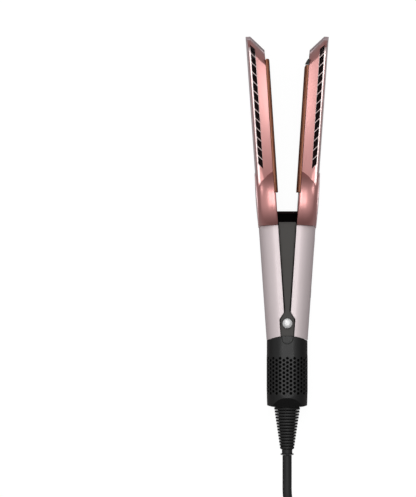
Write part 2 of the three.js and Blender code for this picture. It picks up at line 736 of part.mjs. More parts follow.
const motorHousing = () => onLeadAxis([
  [motorRadius - motorWall, motorBottomY], [motorRadius, motorBottomY], [motorRadius, motorTopY],
  [5.2, motorTopY], [5.2, motorTopY - 2], [motorRadius - motorWall, motorTopY - 2],
  [motorRadius - motorWall, motorBottomY],
], 28);

const statorTopY = motorTopY - 2 - seatGap;
const statorLength = 15;
const rotorRadius = 5.4;

const stator = () => ring(motorRadius - motorWall - seatGap, rotorRadius + 0.5, statorTopY - statorLength,
  statorTopY);

function rotor() {
  const top = statorTopY + 1.9;
  const magnetBottom = statorTopY - statorLength;
  const hubTop = magnetBottom - 2;
  const hubBottom = hubTop - 9;
  const spindle = solid(onLeadAxis([
    [0, hubBottom - 6], [shaftRadius, hubBottom - 6], [shaftRadius, hubBottom], [3.4, hubBottom],
    [6.2, hubTop], [shaftRadius + 1, hubTop], [rotorRadius, magnetBottom], [rotorRadius, statorTopY - 2],
    [shaftRadius, statorTopY - 2], [shaftRadius, top], [0, top],
  ], 18));
  const blades = Array.from({ length: impellerBlades }, (_, i) => {
    const blade = new THREE.BoxGeometry(impellerRadius - 3.2, 7, 0.8);
    blade.rotateX(0.6).translate(3.2 + (impellerRadius - 3.2) / 2, 0, 0);
    blade.rotateY(i * 2 * Math.PI / impellerBlades).translate(0, (hubTop + hubBottom) / 2, axisZ);
    return solid(blade);
  });
  return joined(spindle, ...blades);
}

const upperBearing = () => ring(4.9, shaftRadius + 0.3, motorTopY - 1.8, motorTopY - 0.2, 20);

// A spider across the motor's open end carries the lower bearing seat
function lowerSpider() {
  const from = motorBottomY + 0.6;
  const to = from + 2.6;
  const rim = solid(ring(motorRadius - motorWall - seatGap, motorRadius - motorWall - 1.6, from, to));
  const seat = solid(ring(4, shaftRadius + 0.3, from, to, 20));
  const spokes = Array.from({ length: 4 }, (_, i) => {
    const spoke = new THREE.BoxGeometry(motorRadius - motorWall - 4, 2, 1.2);
    spoke.translate(3.4 + (motorRadius - motorWall - 4) / 2, 0, 0).rotateY((i + 0.5) * Math.PI / 2);
    return solid(spoke.translate(0, (from + to) / 2, axisZ));
  });
  return joined(rim, seat, ...spokes);
}

const meshFilter = () => ring(filterRadius, filterRadius - filterWall, motorBottomY - 8, -17);

const motorCollar = () => ring(filterRadius - filterWall - seatGap, motorRadius + seatGap, -24, -18);

const endCap = () => onLeadAxis([
  [0, cageBottomY + cageFloor + 2.2], [filterRadius - 1, cageBottomY + cageFloor + 2.2],
  [filterRadius - 1, motorBottomY - 8 - seatGap], [filterRadius - filterWall - seatGap, motorBottomY - 8 - seatGap],
  [filterRadius - filterWall - seatGap, motorBottomY - 4], [12, motorBottomY - 4], [11, motorBottomY - 6],
  [0, motorBottomY - 6],
], 28);

function strainRelief() {
  const flangeTop = cageBottomY + cageFloor + 2.2 - seatGap;
  const profile = [[0, flangeTop], [reliefTopRadius - 0.6, flangeTop], [reliefTopRadius - 0.6, cageBottomY - 0.4]];
  for (let i = 0; i < reliefFins; i++) {
    const y = cageBottomY - 0.4 - i * reliefPitch;
    const outer = THREE.MathUtils.lerp(reliefTopRadius, reliefEndRadius, i / (reliefFins - 1));
    if (i) profile.push([reliefCoreRadius, y]);
    profile.push([outer, y - 0.3], [outer - 0.2, y - reliefFin], [reliefCoreRadius, y - reliefFin]);
  }
  profile.push([reliefCoreRadius, reliefEndY + 1.3], [5.9, reliefEndY + 1], [5.9, reliefEndY], [0, reliefEndY]);
  return onLeadAxis(profile.reverse(), 12);
}

const board = { halfWidth: 7.2, startY: 40, endY: 84, backZ: 12, thickness: 1.6 };
const controlBoard = () => box(-board.halfWidth, board.halfWidth, board.startY, board.endY, board.backZ,
  board.backZ + board.thickness);

const splitter = { halfWidth: 7, startY: 38, endY: 88, backZ: 18, frontZ: 36, wall: 1.2 };

function airSplitter() {
  const { halfWidth, startY, endY, backZ, frontZ, wall } = splitter;
  const outside = solid(box(-halfWidth, halfWidth, startY, endY, backZ, frontZ));
  const inside = solid(box(-halfWidth + wall, halfWidth - wall, startY - 1, endY + 1, backZ + wall, frontZ - wall));
  const divider = solid(prismZ([at(-0.8, endY - 28), at(0.8, endY - 28), at(1.6, endY), at(-1.6, endY)],
    backZ + wall / 2, frontZ - wall / 2));
  return joined(cut(outside, inside), divider);
}

// A tube of round section along a list of points, closed at both ends
function tube(points, radius, sides) {
  const rings = points.length;
  const vertices = [];
  const faces = [];
  let across = new THREE.Vector3(0, 0, 1);
  points.forEach((point, i) => {
    const along = points[Math.min(i + 1, rings - 1)].clone().sub(points[Math.max(i - 1, 0)]).normalize();
    across = across.clone().addScaledVector(along, -across.dot(along)).normalize();
    const side = new THREE.Vector3().crossVectors(along, across);
    for (let k = 0; k < sides; k++) {
      const a = 2 * Math.PI * k / sides;
      const place = point.clone().addScaledVector(across, radius * Math.cos(a))
        .addScaledVector(side, radius * Math.sin(a));
      vertices.push(place.x, place.y, place.z);
    }
  });
  for (let i = 0; i < rings - 1; i++) {
    for (let k = 0; k < sides; k++) {
      const a = i * sides + k;
      const b = i * sides + (k + 1) % sides;
      faces.push(a, b, b + sides, a, b + sides, a + sides);
    }
  }
  for (let k = 1; k < sides - 1; k++) {
    faces.push(0, k + 1, k);
    faces.push((rings - 1) * sides, (rings - 1) * sides + k, (rings - 1) * sides + k + 1);
  }
  const geometry = new THREE.BufferGeometry();
  geometry.setAttribute('position', new THREE.BufferAttribute(new Float32Array(vertices), 3));
  geometry.setIndex(faces);
  return geometry;
}

// The hank's line. Its phase counts loops from the middle of the right-hand run. The loops
// spiral in and out again, a layer each way, climb along the runs and draw in at the waist.
const loopsPerLayer = hankLoops / hankLayers;
const hankOuterRadius = hankInnerRadius + loopsPerLayer * hankStep;
const foldShare = 0.5 * Math.PI * 32 / (Math.PI * 32 + hankRun);

function hankRadius(phase) {
  if (phase < 0) return hankOuterRadius - hankStep * phase;
  if (phase > hankLoops) return hankOuterRadius + hankStep * (phase - hankLoops);
  const part = phase % (2 * loopsPerLayer);
  return hankOuterRadius - hankStep * Math.min(part, 2 * loopsPerLayer - part);
}

function hankHeight(phase) {
  let layer = 0;
  for (let k = 1; k < hankLayers; k++) {
    const share = THREE.MathUtils.clamp((phase - k * loopsPerLayer) / 0.22 + 0.5, 0, 1);
    layer += share * share * (3 - 2 * share);
  }
  return hankBaseZ + layer * hankLayerHeight;
}

function hankPoint(phase) {
  const radius = hankRadius(phase);
  const turn = phase - Math.floor(phase);
  const runShare = 0.5 - foldShare;
  const half = turn < runShare / 2 || turn >= 1 - runShare / 2 ? 0 : turn < 0.5 - runShare / 2 ? 1
    : turn < 0.5 + runShare / 2 ? 2 : 3;
  const waist = (y) => hankWaist * 0.5 * (1 + Math.cos(2 * Math.PI * y / hankRun));
  let x;
  let y;
  if (half === 0) {
    y = -((turn > 0.5 ? turn - 1 : turn) / runShare) * hankRun;
    x = radius - waist(y);
  } else if (half === 2) {
    y = ((turn - 0.5) / runShare) * hankRun;
    x = -radius + waist(y);
  } else {
    const from = half === 1 ? runShare / 2 : 0.5 + runShare / 2;
    const angle = -Math.PI * (turn - from) / foldShare;
    const way = half === 1 ? 1 : -1;
    x = way * radius * Math.cos(angle);
    y = way * (-hankRun / 2 + radius * Math.sin(angle));
  }
  return new THREE.Vector3(x, hankCentreY + y, hankHeight(phase));
}

// Phases with more steps in the folds than in the runs
function hankPhases(perRun, perFold) {
  const runShare = 0.5 - foldShare;
  const phases = [-runShare / 2];
  for (let half = 0; half <= 2 * hankLoops; half++) {
    const start = half * 0.5 - runShare / 2;
    for (let i = 1; i <= perRun; i++) phases.push(start + runShare * i / perRun);
    for (let i = 1; i <= perFold; i++) phases.push(start + runShare + foldShare * i / perFold);
  }
  return [...phases.filter((phase) => phase < hankLoops + hankEndPast - 0.02), hankLoops + hankEndPast];
}

const hankLine = hankPhases(6, 7).map(hankPoint);

// The lead's free stretches: points chosen by hand, joined by a smooth curve
const leadStart = reliefEndY - seatGap;
const runRoute = [
  [0, leadStart, axisZ], [0, -127, axisZ], [0, -136, axisZ], [0, -144, axisZ], [0, -150, axisZ],
  [0.5, -157, 23.2], [2.2, -164, 22.2], [5.2, -171, 20.4], [9.8, -178, 18], [14.5, -183, 15.7],
  [20.3, -187.5, 13.4], [26.1, -192, 11.3], [30.8, -197, 9.5], [35.4, -204, 7.6], [38.4, -211, 6.4],
  [40, -218, 5.9], [40.6, -225, hankBaseZ], [40.6, -232, hankBaseZ], [40.6, -238.6, hankBaseZ],
];
const tailRoute = [
  [31.3, -308.2, 32.2], [33.1, -313.6, 32.7], [34.6, -319, 34.1], [35.5, -324.7, 36.2], [35.8, -330.5, 38.6],
  [35.5, -336.2, 41], [34.7, -342, 43.1], [34.3, -347.7, 44.5], [34.1, -353.5, 45], [34, -356, 45],
];

function routed(points, steps) {
  const places = points.map(([x, y, z]) => new THREE.Vector3(x, y, z));
  return new THREE.CatmullRomCurve3(places, false, 'centripetal').getSpacedPoints(steps);
}

function leastGap(line, radius) {
  const fine = [];
  for (let i = 0; i < line.length - 1; i++) {
    for (let k = 0; k < 4; k++) fine.push(line[i].clone().lerp(line[i + 1], k / 4));
  }
  let least = Infinity;
  for (let i = 0; i < fine.length; i++) {
    for (let j = i + 24; j < fine.length; j++) least = Math.min(least, fine[i].distanceTo(fine[j]));
  }
  return least - 2 * radius;
}

const lengthOf = (line) => line.slice(1).reduce((sum, point, i) => sum + point.distanceTo(line[i]), 0);

function cordTie() {
  const halfWidth = hankOuterRadius - hankWaist + cordRadius + 2.2;
  const top = hankBaseZ + (hankLayers - 1) * hankLayerHeight + cordRadius + 0.6;
  const bottom = hankBaseZ - cordRadius - 0.4;
  const outer = roundedRectangle(-halfWidth - tieThickness, halfWidth + tieThickness, bottom - tieThickness,
    top + tieThickness, 5 + tieThickness, 4);
  const inner = roundedRectangle(-halfWidth, halfWidth, bottom, top, 5, 4);
  return prismY(outer, hankCentreY - tieWidth / 2, hankCentreY + tieWidth / 2, [inner]);
}

const plugX = 34;
const plugZ = 45;
const plugTopY = -356.4;

function plugBody() {
  const outline = [
    at(plugX - 5, plugTopY), at(plugX - 5.6, plugTopY - 9), at(plugX - plugHalfWidth + 1, plugTopY - 15),
    at(plugX - plugHalfWidth, plugTopY - 18), at(plugX - plugHalfWidth, plugTopY - plugLength),
    at(plugX + plugHalfWidth, plugTopY - plugLength), at(plugX + plugHalfWidth, plugTopY - 18),
    at(plugX + plugHalfWidth - 1, plugTopY - 15), at(plugX + 5.6, plugTopY - 9), at(plugX + 5, plugTopY),
  ];
  const side = [
    at(plugTopY - plugLength, plugZ - plugHalfHeight), at(plugTopY - 14, plugZ - plugHalfHeight),
    at(plugTopY - 8, plugZ - 5.6), at(plugTopY, plugZ - 5), at(plugTopY, plugZ + 5),
    at(plugTopY - 8, plugZ + 5.6), at(plugTopY - 14, plugZ + plugHalfHeight),
    at(plugTopY - plugLength, plugZ + plugHalfHeight),
  ];
  return solid(prismZ(outline, plugZ - 20, plugZ + 20)).intersect(solid(prismX(side, plugX - 30, plugX + 30)));
}

const plugBlade = (side) => {
  const x = plugX + side * bladeSpacing / 2;
  const y1 = plugTopY - plugLength - seatGap;
  return box(x - 0.75, x + 0.75, y1 - bladeLength, y1, plugZ - 3.2, plugZ + 3.2);
};

// A torsion spring round the pin, between the eyes and the spine's post
function openingSpring() {
  const turns = 3;
  const wire = 0.6;
  const radius = pinRadius + 2.4 + 0.3 + wire;
  const z0 = backEyeZ + 2 * eyeStep + spineWall + 0.9;
  const points = Array.from({ length: turns * 12 + 1 }, (_, i) => {
    const a = 2 * Math.PI * i / 12;
    return new THREE.Vector3(radius * Math.cos(a), radius * Math.sin(a), z0 + i * 2 / 12);
  });
  return tube(points, wire, 5);
}

const iron = new THREE.Group();
const rightArm = new THREE.Group();
const leftArm = new THREE.Group();
iron.add(rightArm, leftArm);
arm(1, rightArm);
arm(-1, leftArm);

mesh('core_frame', geometryOf(coreFrame()), finishes.black, iron);
mesh('spine_cover', geometryOf(spineCover()), finishes.spineGrey, iron);
mesh('back_cover', geometryOf(backCover()), finishes.spineGrey, iron);
mesh('hinge_pin', hingePin(), finishes.silver, iron);
mesh('pin_washer', pinWasher(), finishes.black, iron);
mesh('opening_spring', openingSpring(), finishes.steel, iron);
mesh('control_board', controlBoard(), finishes.board, iron);
mesh('air_splitter', geometryOf(airSplitter()), finishes.black, iron);
mesh('lock_slider', geometryOf(lockSlider()), finishes.cageBlack, iron);
mesh('filter_cage', geometryOf(filterCage()), finishes.cageBlack, iron);
mesh('motor_housing', motorHousing(), finishes.steel, iron);
mesh('stator', stator(), finishes.winding, iron);
mesh('rotor', geometryOf(rotor()), finishes.steel, iron);
mesh('upper_bearing', upperBearing(), finishes.steel, iron);
mesh('lower_spider', geometryOf(lowerSpider()), finishes.black, iron);
mesh('motor_collar', motorCollar(), finishes.rubber, iron);
mesh('mesh_filter', meshFilter(), finishes.steel, iron);
mesh('end_cap', endCap(), finishes.black, iron);
mesh('strain_relief', strainRelief(), finishes.rubber, iron);
mesh('cord_run', tube(routed(runRoute, 16), cordRadius, 8), finishes.rubber, iron);
mesh('cord_hank', tube(hankLine, cordRadius, 6), finishes.rubber, iron);
mesh('cord_tail', tube(routed(tailRoute, 8), cordRadius, 8), finishes.rubber, iron);
mesh('cord_tie', cordTie(), finishes.rubber, iron);
mesh('plug', geometryOf(plugBody()), finishes.rubber, iron);
mesh('plug_blade_left', plugBlade(-1), finishes.steel, iron);
mesh('plug_blade_right', plugBlade(1), finishes.steel, iron);

console.log(`hank: least gap to itself ${leastGap(hankLine, cordRadius).toFixed(2)} mm, `
  + `length ${lengthOf(hankLine).toFixed(0)} mm`);

export default iron;
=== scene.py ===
# Finishes the hot-air flat iron: the moulded shells, housings, cage and lead are built here in
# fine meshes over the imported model, and every piece gets its material. The iron lies open on its
# back on a pale floor, seen from straight above.
import json
from math import acos, cos, degrees, hypot, pi, radians, sin, sqrt

import bmesh
import bpy
from mathutils import Matrix, Vector


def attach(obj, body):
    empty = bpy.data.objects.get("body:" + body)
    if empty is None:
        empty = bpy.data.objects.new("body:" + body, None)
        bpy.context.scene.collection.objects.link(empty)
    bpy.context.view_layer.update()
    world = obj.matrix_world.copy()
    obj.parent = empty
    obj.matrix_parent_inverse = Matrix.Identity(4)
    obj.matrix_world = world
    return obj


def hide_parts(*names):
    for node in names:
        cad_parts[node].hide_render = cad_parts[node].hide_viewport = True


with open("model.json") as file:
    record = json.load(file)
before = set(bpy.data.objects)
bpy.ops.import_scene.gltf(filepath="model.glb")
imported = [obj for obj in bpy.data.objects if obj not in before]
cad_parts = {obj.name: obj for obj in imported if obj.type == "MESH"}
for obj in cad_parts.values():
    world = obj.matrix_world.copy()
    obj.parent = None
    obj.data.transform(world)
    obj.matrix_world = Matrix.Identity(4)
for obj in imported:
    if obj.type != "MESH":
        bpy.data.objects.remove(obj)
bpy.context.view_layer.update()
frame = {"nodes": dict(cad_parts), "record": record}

# Sizes in millimetres, as in the model's source
MM = 0.001
GAP = 0.3
OPEN_ANGLE = radians(3.8)
TIP_Y = 259.2
HANDLE_DEPTH = 47
WORK_DEPTH = 53.2
SPLIT_Z = 38
ARM_HALF_WIDTH = 19.8
PAST_ARM_X = 30
PAST_CAGE = 30
FOOT_SCALE = 0.978
TIP_SCALE = 1.02
FOOT_Y = -10.8
FOOT_DROP = 3.2
CORNER = 14
SHELL_WALL = 1.8
HANDLE_INNER_X = 2.5
WORK_INNER_X = 4
SEAM_Y = 88.8
INNER_STEP_Y = 117.4
NOTCH_HALF_WIDTH = 7.05
NOTCH_SHOULDER_Y = 3.7
NOTCH_NECK_Y = 9.9
HOUSING_WALL = 1.6
RIM_RADIUS = 1.2
RIM_INSET = 1.6
LAND_WIDTH = 4.5
LAND_DROP = 0.6
LAND_X = ARM_HALF_WIDTH - RIM_INSET - RIM_RADIUS - LAND_WIDTH
FACE_DROP = 6.2
# Where the copper's painted highlight lies: on the crown of its rim and on the ribs between its slots
RIM_HIGHLIGHT_Z = 52.97
RIM_HIGHLIGHT_X = 16.8
RIM_TIP_FALL = 1.6
TIP_SLOPE_X = 15.9
TIP_SLOPE = 1.08
TIP_BACK_RADIUS = 24.2
TIP_BACK_Y = 22.3
TIP_BACK_Z = 23.2
TIP_BACK_ARC = (-73.3, -23)
TIP_FRONT_RADIUS = 14.5
TIP_FRONT_TURN = 80
CAP_LIP = 3
HOUSING_TIP_DROP = 3
SLOT_COUNT = 13
SLOT_PITCH = 8.34
SLOT_START_Y = 139.8
SLOT_RIB = 0.9
SLOT_WIDTH = 4
SLOT_SLANT = 4.4
SLOT_END_Y = SLOT_START_Y + SLOT_COUNT * SLOT_PITCH
BULB_Y = 110.9
# Where the rim's painted highlight starts beyond the bulb, and how much narrower it is before the first
# slot
RIM_HIGHLIGHT_START_Y = BULB_Y + 15
RIM_HIGHLIGHT_NARROWING = 3.2
BULB_Z = 27.6
BULB_INNER_X = 2.6
BULB_RADIUS = 32.4
DISC_Y = 111.8
DISC_Z = 27.5
DISC_RADIUS = 25.5
DISC_RING = 2.7
DISC_CHORD_Z = 33.8
DISC_OUTER_X = 20.3
DISC_THICKNESS = 0.9
DISC_BACK_X = DISC_OUTER_X - DISC_THICKNESS
DISC_DOME = 0.9
BAR_INNER_X = 0.5
BAR_WIDTH = 3.2
BAR_DEPTH = 6
BAR_START_Y = 118
BAR_END_Y = 238
BAR_EDGE = 2.2
FRONT_BAR_Z = 40.6
REAR_BAR_Z = 3
BUMPER_LENGTH = 5.2
SPINE_HALF_WIDTH = 11.4
SPINE_END_Y = 100.6
SPINE_FRONT_Z = 42.4
COVER_START_Y = 90.8
COVER_HALF_WIDTH = 7.8
COVER_NECK_HALF_WIDTH = 2.2
COVER_NECK_Y = 12.5
COVER_PIN_HALF_WIDTH = 6.3
COVER_FOOT_HALF_WIDTH = 5.5
COVER_FOOT_Y = -15.6
COVER_THICKNESS = 1.9
PIN_RADIUS = 2.5
PIN_HEAD_RADIUS = 4.4
PIN_HEAD_TOP_Z = 48.9
PIN_HEAD_RISE = 1.5
PIN_REAR_HEAD = 2.2
RUNNING_GAP = 0.35
LOCK_HALF_WIDTH = 5
LOCK_TOP_Y = -11.3
LOCK_ROUND_Y = -13.6
LOCK_TOP_Z = 47.4
LOCK_FIT = 0.12
CAGE_HALF_WIDTH = 18.2
CAGE_DEPTH = 47.8
CAGE_WALL = 1.6
CAGE_TOP_Y = -11.7
CAGE_TOP_DROP = 4
CAGE_BOTTOM_Y = -75.4
CAGE_FLOOR = 2.2
END_CAP_FLOOR = 2.2
CAGE_BOTTOM_BOW = 1.7
CAGE_CHAMFER_Z = 7.4
CAGE_CHAMFER_Y = 8.4
CAGE_FOOT_CORNER = 18
HOLE_ROWS = 9
HOLE_COLUMNS = 44
HOLE_RADIUS = 1.28
HOLE_TOP_Y = -31.3
HOLE_PITCH = 3.7
HOLE_BOTTOM_Y = HOLE_TOP_Y - (HOLE_ROWS - 0.5) * HOLE_PITCH
AXIS_Z = 23.5
MOTOR_RADIUS = 13.7
MOTOR_WALL = 1.4
MOTOR_TOP_Y = -17.6
MOTOR_BOTTOM_Y = -59
FILTER_RADIUS = 16.1
FILTER_WALL = 0.8
FILTER_TOP_Y = -17
COLLAR_LOW_Y = -24
COLLAR_HIGH_Y = -18
RELIEF_TOP_RADIUS = 11.6
RELIEF_END_RADIUS = 6.4
RELIEF_CORE_RADIUS = 4.7
RELIEF_FINS = 14
RELIEF_PITCH = 2.7
RELIEF_FIN = 2.1
RELIEF_SLANT = 0.85
RELIEF_END_Y = -118.5
RELIEF_END_FLANGE = 5.9
CORD_RADIUS = 4.15
HANK_LOOPS = 6
HANK_LAYERS = 4
HANK_STEP = 9.6
HANK_INNER_RADIUS = 25
HANK_MEAN_RADIUS = 32
HANK_RUN = 100
HANK_WAIST = 12
HANK_LAYER_HEIGHT = 8.8
HANK_CLIMB = 0.22
HANK_BASE_Z = 5.8
HANK_CENTRE_Y = -290
HANK_END_PAST = 0.042
TIE_WIDTH = 18
TIE_THICKNESS = 1.1
TIE_CORNER = 5
PLUG_X = 34
PLUG_Z = 45
PLUG_TOP_Y = -356.4
PLUG_LENGTH = 33

# Controls in the outer face of the right arm: place along the arm, half sizes, corner radius
CONTROLS = {
    "display_window": (52, 12, 5, 2),
    "power_button": (28, 4.5, 4.5, 4.4),
    "heat_button": (74, 5, 3, 2.9),
    "airflow_button": (90, 5, 3, 2.9),
}
BUTTON_PROUD = 0.2
BUTTON_CLEARANCE = 0.35

# The photograph's frame, on the plane of the iron's front faces
SEEN_HEIGHT = 446.1
VIEW_CENTRE = (-71.2, 67.15)
FRONT_PLANE_Z = 40
CAMERA_DISTANCE = 6000
FLOOR_REACH = 20000
FLOOR_TOP_Z = -0.4
FLOOR_BASE_Z = -4

# The sky: its brightest direction, and its tone by how far a direction agrees with that
OVERHEAD = (-0.22, 0.1, 0.97)
SKY_TONES = ((0, 0.19), (0.3, 0.36), (0.55, 0.56), (0.8, 0.64), (1, 0.58))
# What is left of that tone, by how far the direction leans along the iron
SKY_BAND = {"From Min": 0.3, "From Max": 0.95, "To Min": 1.12, "To Max": 0.3}

# The angle between faces from which their edge is sharp
SHARP_ANGLE = radians(32)


def placed(name, data):
    made = bpy.data.objects.new(name, data)
    bpy.context.scene.collection.objects.link(made)
    return made


# The camera
def photo_camera():
    data = bpy.data.cameras.new("camera")
    data.sensor_width = 36
    data.lens = data.sensor_width * CAMERA_DISTANCE / SEEN_HEIGHT
    data.clip_end = 100
    camera = placed("camera", data)
    camera.location = Vector((*VIEW_CENTRE, FRONT_PLANE_Z + CAMERA_DISTANCE)) * MM
    bpy.context.scene.camera = camera


class Value:
    """The socket of a node in a tree. Sums, differences and products of values add their Math nodes."""
    def __init__(self, nodes, socket):
        self.nodes = nodes
        self.socket = socket

    def __add__(self, other):
        return self.nodes.maths("ADD", self, other)

    def __radd__(self, other):
        return self.nodes.maths("ADD", other, self)

    def __sub__(self, other):
        return self.nodes.maths("SUBTRACT", self, other)

    def __rsub__(self, other):
        return self.nodes.maths("SUBTRACT", other, self)

    def __mul__(self, other):
        return self.nodes.maths("MULTIPLY", self, other)

    def __rmul__(self, other):
        return self.nodes.maths("MULTIPLY", other, self)

    def sine(self):
        return self.nodes.maths("SINE", self)

    def without_sign(self):
        return self.nodes.maths("ABSOLUTE", self)

    def above(self, edge, softness):
        """0 below the edge, 1 above it, with a soft step between."""
        settings = {"interpolation_type": "SMOOTHSTEP"}
        return self.nodes.node("ShaderNodeMapRange", settings, Value=self,
                               **{"From Min": edge - softness, "From Max": edge + softness})


class Nodes:
    """A node tree that takes numbers, colours and other nodes' values."""
    def __init__(self, tree):
        self.tree = tree

    def node(self, kind, settings=None, *values, output=0, **inputs):
        """Adds a node of that type. Its settings come first, then the values or links of its sockets,
        in their order or by name."""
        node = self.tree.nodes.new(kind)
        for key, setting in (settings or {}).items():
            if key == "stops":
                set_stops(node.color_ramp.elements, setting)
            else:
                setattr(node, key, setting)
        for place, value in [*enumerate(values), *inputs.items()]:
            self.feed(node.inputs[place], value)
        return Value(self, node.outputs[output])

    def maths(self, operation, *values):
        return self.node("ShaderNodeMath", {"operation": operation}, *values)

    def feed(self, socket, value):
        if isinstance(value, Value):
            self.tree.links.new(value.socket, socket)
        else:
            socket.default_value = value

    def mix(self, share, low, high):
        """The colour between two colours."""
        low, high = [color if isinstance(color, Value) else srgb(*color) for color in (low, high)]
        return self.node("ShaderNodeMix", {"data_type": "RGBA"}, share, A=low, B=high, output="Result")


class Finish(Nodes):
    """A material."""
    def __init__(self, name, color, roughness, metallic=0.0, coat=0.0, coat_roughness=0.1, specular=0.5):
        self.material = bpy.data.materials.new(name)
        self.material.use_nodes = True
        super().__init__(self.material.node_tree)
        self.shader = self.tree.nodes["Principled BSDF"]
        for key, value in {"Base Color": srgb(*color), "Roughness": roughness, "Metallic": metallic,
                           "Coat Weight": coat, "Coat Roughness": coat_roughness,
                           "Specular IOR Level": specular}.items():
            self.set(key, value)

    def set(self, name, value):
        self.feed(self.shader.inputs[name], value)

    def place(self):
        return self.node("ShaderNodeTexCoord", output="Object")

    def part_of_place(self, axis):
        return self.node("ShaderNodeSeparateXYZ", None, self.place(), output=axis)

    def noise(self, scale, detail=2.0, stretch=(1, 1, 1)):
        where = self.node("ShaderNodeMapping", None, self.place(), Scale=stretch)
        return self.node("ShaderNodeTexNoise", None, Vector=where, Scale=scale, Detail=detail)

    def color(self, share, low, high):
        self.set("Base Color", self.mix(share, low, high))

    def bump(self, height, depth, strength, edge=None):
        """Bump of that depth in metres, over edges rounded by that many metres."""
        inputs = {"Height": height, "Distance": depth, "Strength": strength}
        if edge:
            inputs["Normal"] = self.node("ShaderNodeBevel", {"samples": 4}, Radius=edge)
        self.set("Normal", self.node("ShaderNodeBump", None, **inputs))


def set_stops(elements, stops):
    """Gives a colour ramp its stops, each a place from 0 to 1 and a colour."""
    for place, color in stops:
        stop = elements.new(place) if 0 < place < 1 else elements[0 if place == 0 else len(elements) - 1]
        stop.color = color


def linear(value):
    value /= 255
    return value / 12.92 if value <= 0.04045 else ((value + 0.055) / 1.055) ** 2.4


def srgb(*channels):
    return (*[linear(channel) for channel in channels], 1)


def toned(color, factor, lift=0):
    return tuple(min(255, channel * factor + lift) for channel in color)


# Finishes
def rim_highlight_mask(finish):
    """Mask of the copper's painted highlight: 1 on the crown of the housing's rim and on the ribs between
    its slots, 0 elsewhere.
    """
    across, along, high = [finish.part_of_place(axis) for axis in range(3)]
    out = across.without_sign() * cos(OPEN_ANGLE) - along * sin(OPEN_ANGLE)
    high = high + along.above((SLOT_END_Y - 6) * MM, 0.006) * (RIM_TIP_FALL * MM)
    crown = high.above(RIM_HIGHLIGHT_Z * MM, 0.0001) * out.above(RIM_HIGHLIGHT_X * MM, 0.0002)
    unslotted = 1 - along.above((SLOT_START_Y + 1) * MM, 0.0005)
    inner_edge = out - unslotted * (RIM_HIGHLIGHT_NARROWING * MM)
    ribs = inner_edge.above(LAND_X * MM, 0.0001) - out.above(RIM_HIGHLIGHT_X * MM, 0.0001)
    ribs = ribs * high.above((WORK_DEPTH - LAND_DROP - 0.2) * MM, 0.0001)
    past_bulb = along.above(RIM_HIGHLIGHT_START_Y * MM, 0.002)
    slanted = along - (out - LAND_X * MM) * (SLOT_SLANT / SLOT_WIDTH)
    return (crown + ribs) * past_bulb * (1 - slanted.above(SLOT_END_Y * MM, 0.0002))


def pearl_lacquer(name, color, deep, metallic, roughness, coat=0.5, coat_roughness=0.12, coat_ior=1.5,
                  rim=None):
    """Sprayed metallic lacquer with fine flakes, deeper in slow patches, and with a painted highlight on
    the rim when a rim colour is given.
    """
    finish = Finish(name, color, roughness, metallic, coat=coat, coat_roughness=coat_roughness)
    flakes = finish.noise(2600, 1)
    lacquer = finish.mix(finish.noise(14) * 1.2, color, deep)
    # The rim colour is a painted highlight on the rim's crown and on the ribs between the slots
    if rim:
        lacquer = finish.mix(rim_highlight_mask(finish), lacquer, rim)
    finish.set("Base Color", lacquer)
    finish.set("Coat IOR", coat_ior)
    finish.set("Roughness", flakes * 0.08 + (roughness - 0.04))
    finish.bump(flakes, 0.00002, 0.3, edge=0.0007)
    return finish


def moulded_plastic(name, color, roughness, specular=0.4):
    """Moulded plastic with a fine spark-eroded grain and a little wear in its sheen."""
    finish = Finish(name, color, roughness, specular=specular)
    fine = finish.noise(1500)
    slow = finish.noise(30, 3)
    finish.color(slow * 0.5, color, toned(color, 1.25, 6))
    finish.set("Roughness", slow * 0.16 + fine * 0.08 + (roughness - 0.12))
    finish.bump(fine, 0.00006, 0.7, edge=0.0003)
    return finish


def brushed_metal(name, color, roughness, stretch=(1, 0.03, 1)):
    """Metal with fine lines along it."""
    finish = Finish(name, color, roughness, 1.0)
    lines = finish.noise(1800, 3, stretch)
    finish.color(lines.above(0.52, 0.2) * 0.6, color, toned(color, 0.72))
    finish.set("Roughness", lines * 0.25 + (roughness - 0.12))
    finish.bump(lines, 0.00002, 0.5, edge=0.0002)
    return finish


def soft_rubber(name, color, roughness):
    """Extruded rubber: dull, with a faint bloom."""
    finish = Finish(name, color, roughness, specular=0.35)
    bloom = finish.noise(45, 4)
    finish.color(bloom.above(0.55, 0.25) * 0.6, color, toned(color, 1, 16))
    finish.set("Roughness", bloom * 0.2 + (roughness - 0.1))
    finish.bump(finish.noise(2200), 0.00005, 0.5, edge=0.0002)
    return finish


def woven_strap(name, color):
    """A strap of looped pile."""
    finish = Finish(name, color, 0.9, specular=0.2)
    pile = finish.node("ShaderNodeTexVoronoi", None, Vector=finish.place(), Scale=900.0)
    fuzz = finish.noise(700, 4)
    finish.color(pile * fuzz * 1.6, color, toned(color, 1, 26))
    finish.bump(pile + fuzz * 0.5, 0.0003, 0.8)
    return finish


def fine_mesh(name, color):
    """Woven wire: crossing threads with openings between them."""
    finish = Finish(name, color, 0.35, 1.0)
    along = finish.part_of_place(1) * 4200
    across = (finish.part_of_place(0) + finish.part_of_place(2) * 0.7) * 4200
    threads = along.sine() * across.sine()
    finish.set("Alpha", 1 - threads.above(0.12, 0.08) * 0.85)
    finish.set("Roughness", threads * 0.1 + 0.38)
    finish.bump(threads, 0.0001, 0.6)
    return finish


def wound_wire(name, color):
    """Enamelled wire wound side by side."""
    finish = Finish(name, color, 0.35, 0.8)
    ridges = (finish.part_of_place(1) * 9000).sine()
    # Darker between the turns of wire: painted shade in the grooves
    finish.color(ridges.above(0.2, 0.6), toned(color, 0.45), color)
    finish.bump(ridges, 0.0001, 0.8)
    return finish


def lacquered_board(name, color):
    """A circuit board: tracks under green lacquer."""
    finish = Finish(name, color, 0.35, coat=0.4)
    tracks = finish.node("ShaderNodeTexBrick", None, Vector=finish.place(), Scale=160.0, output="Fac")
    finish.color(tracks, color, toned(color, 1.6, 12))
    finish.bump(tracks, 0.00005, 0.6)
    return finish


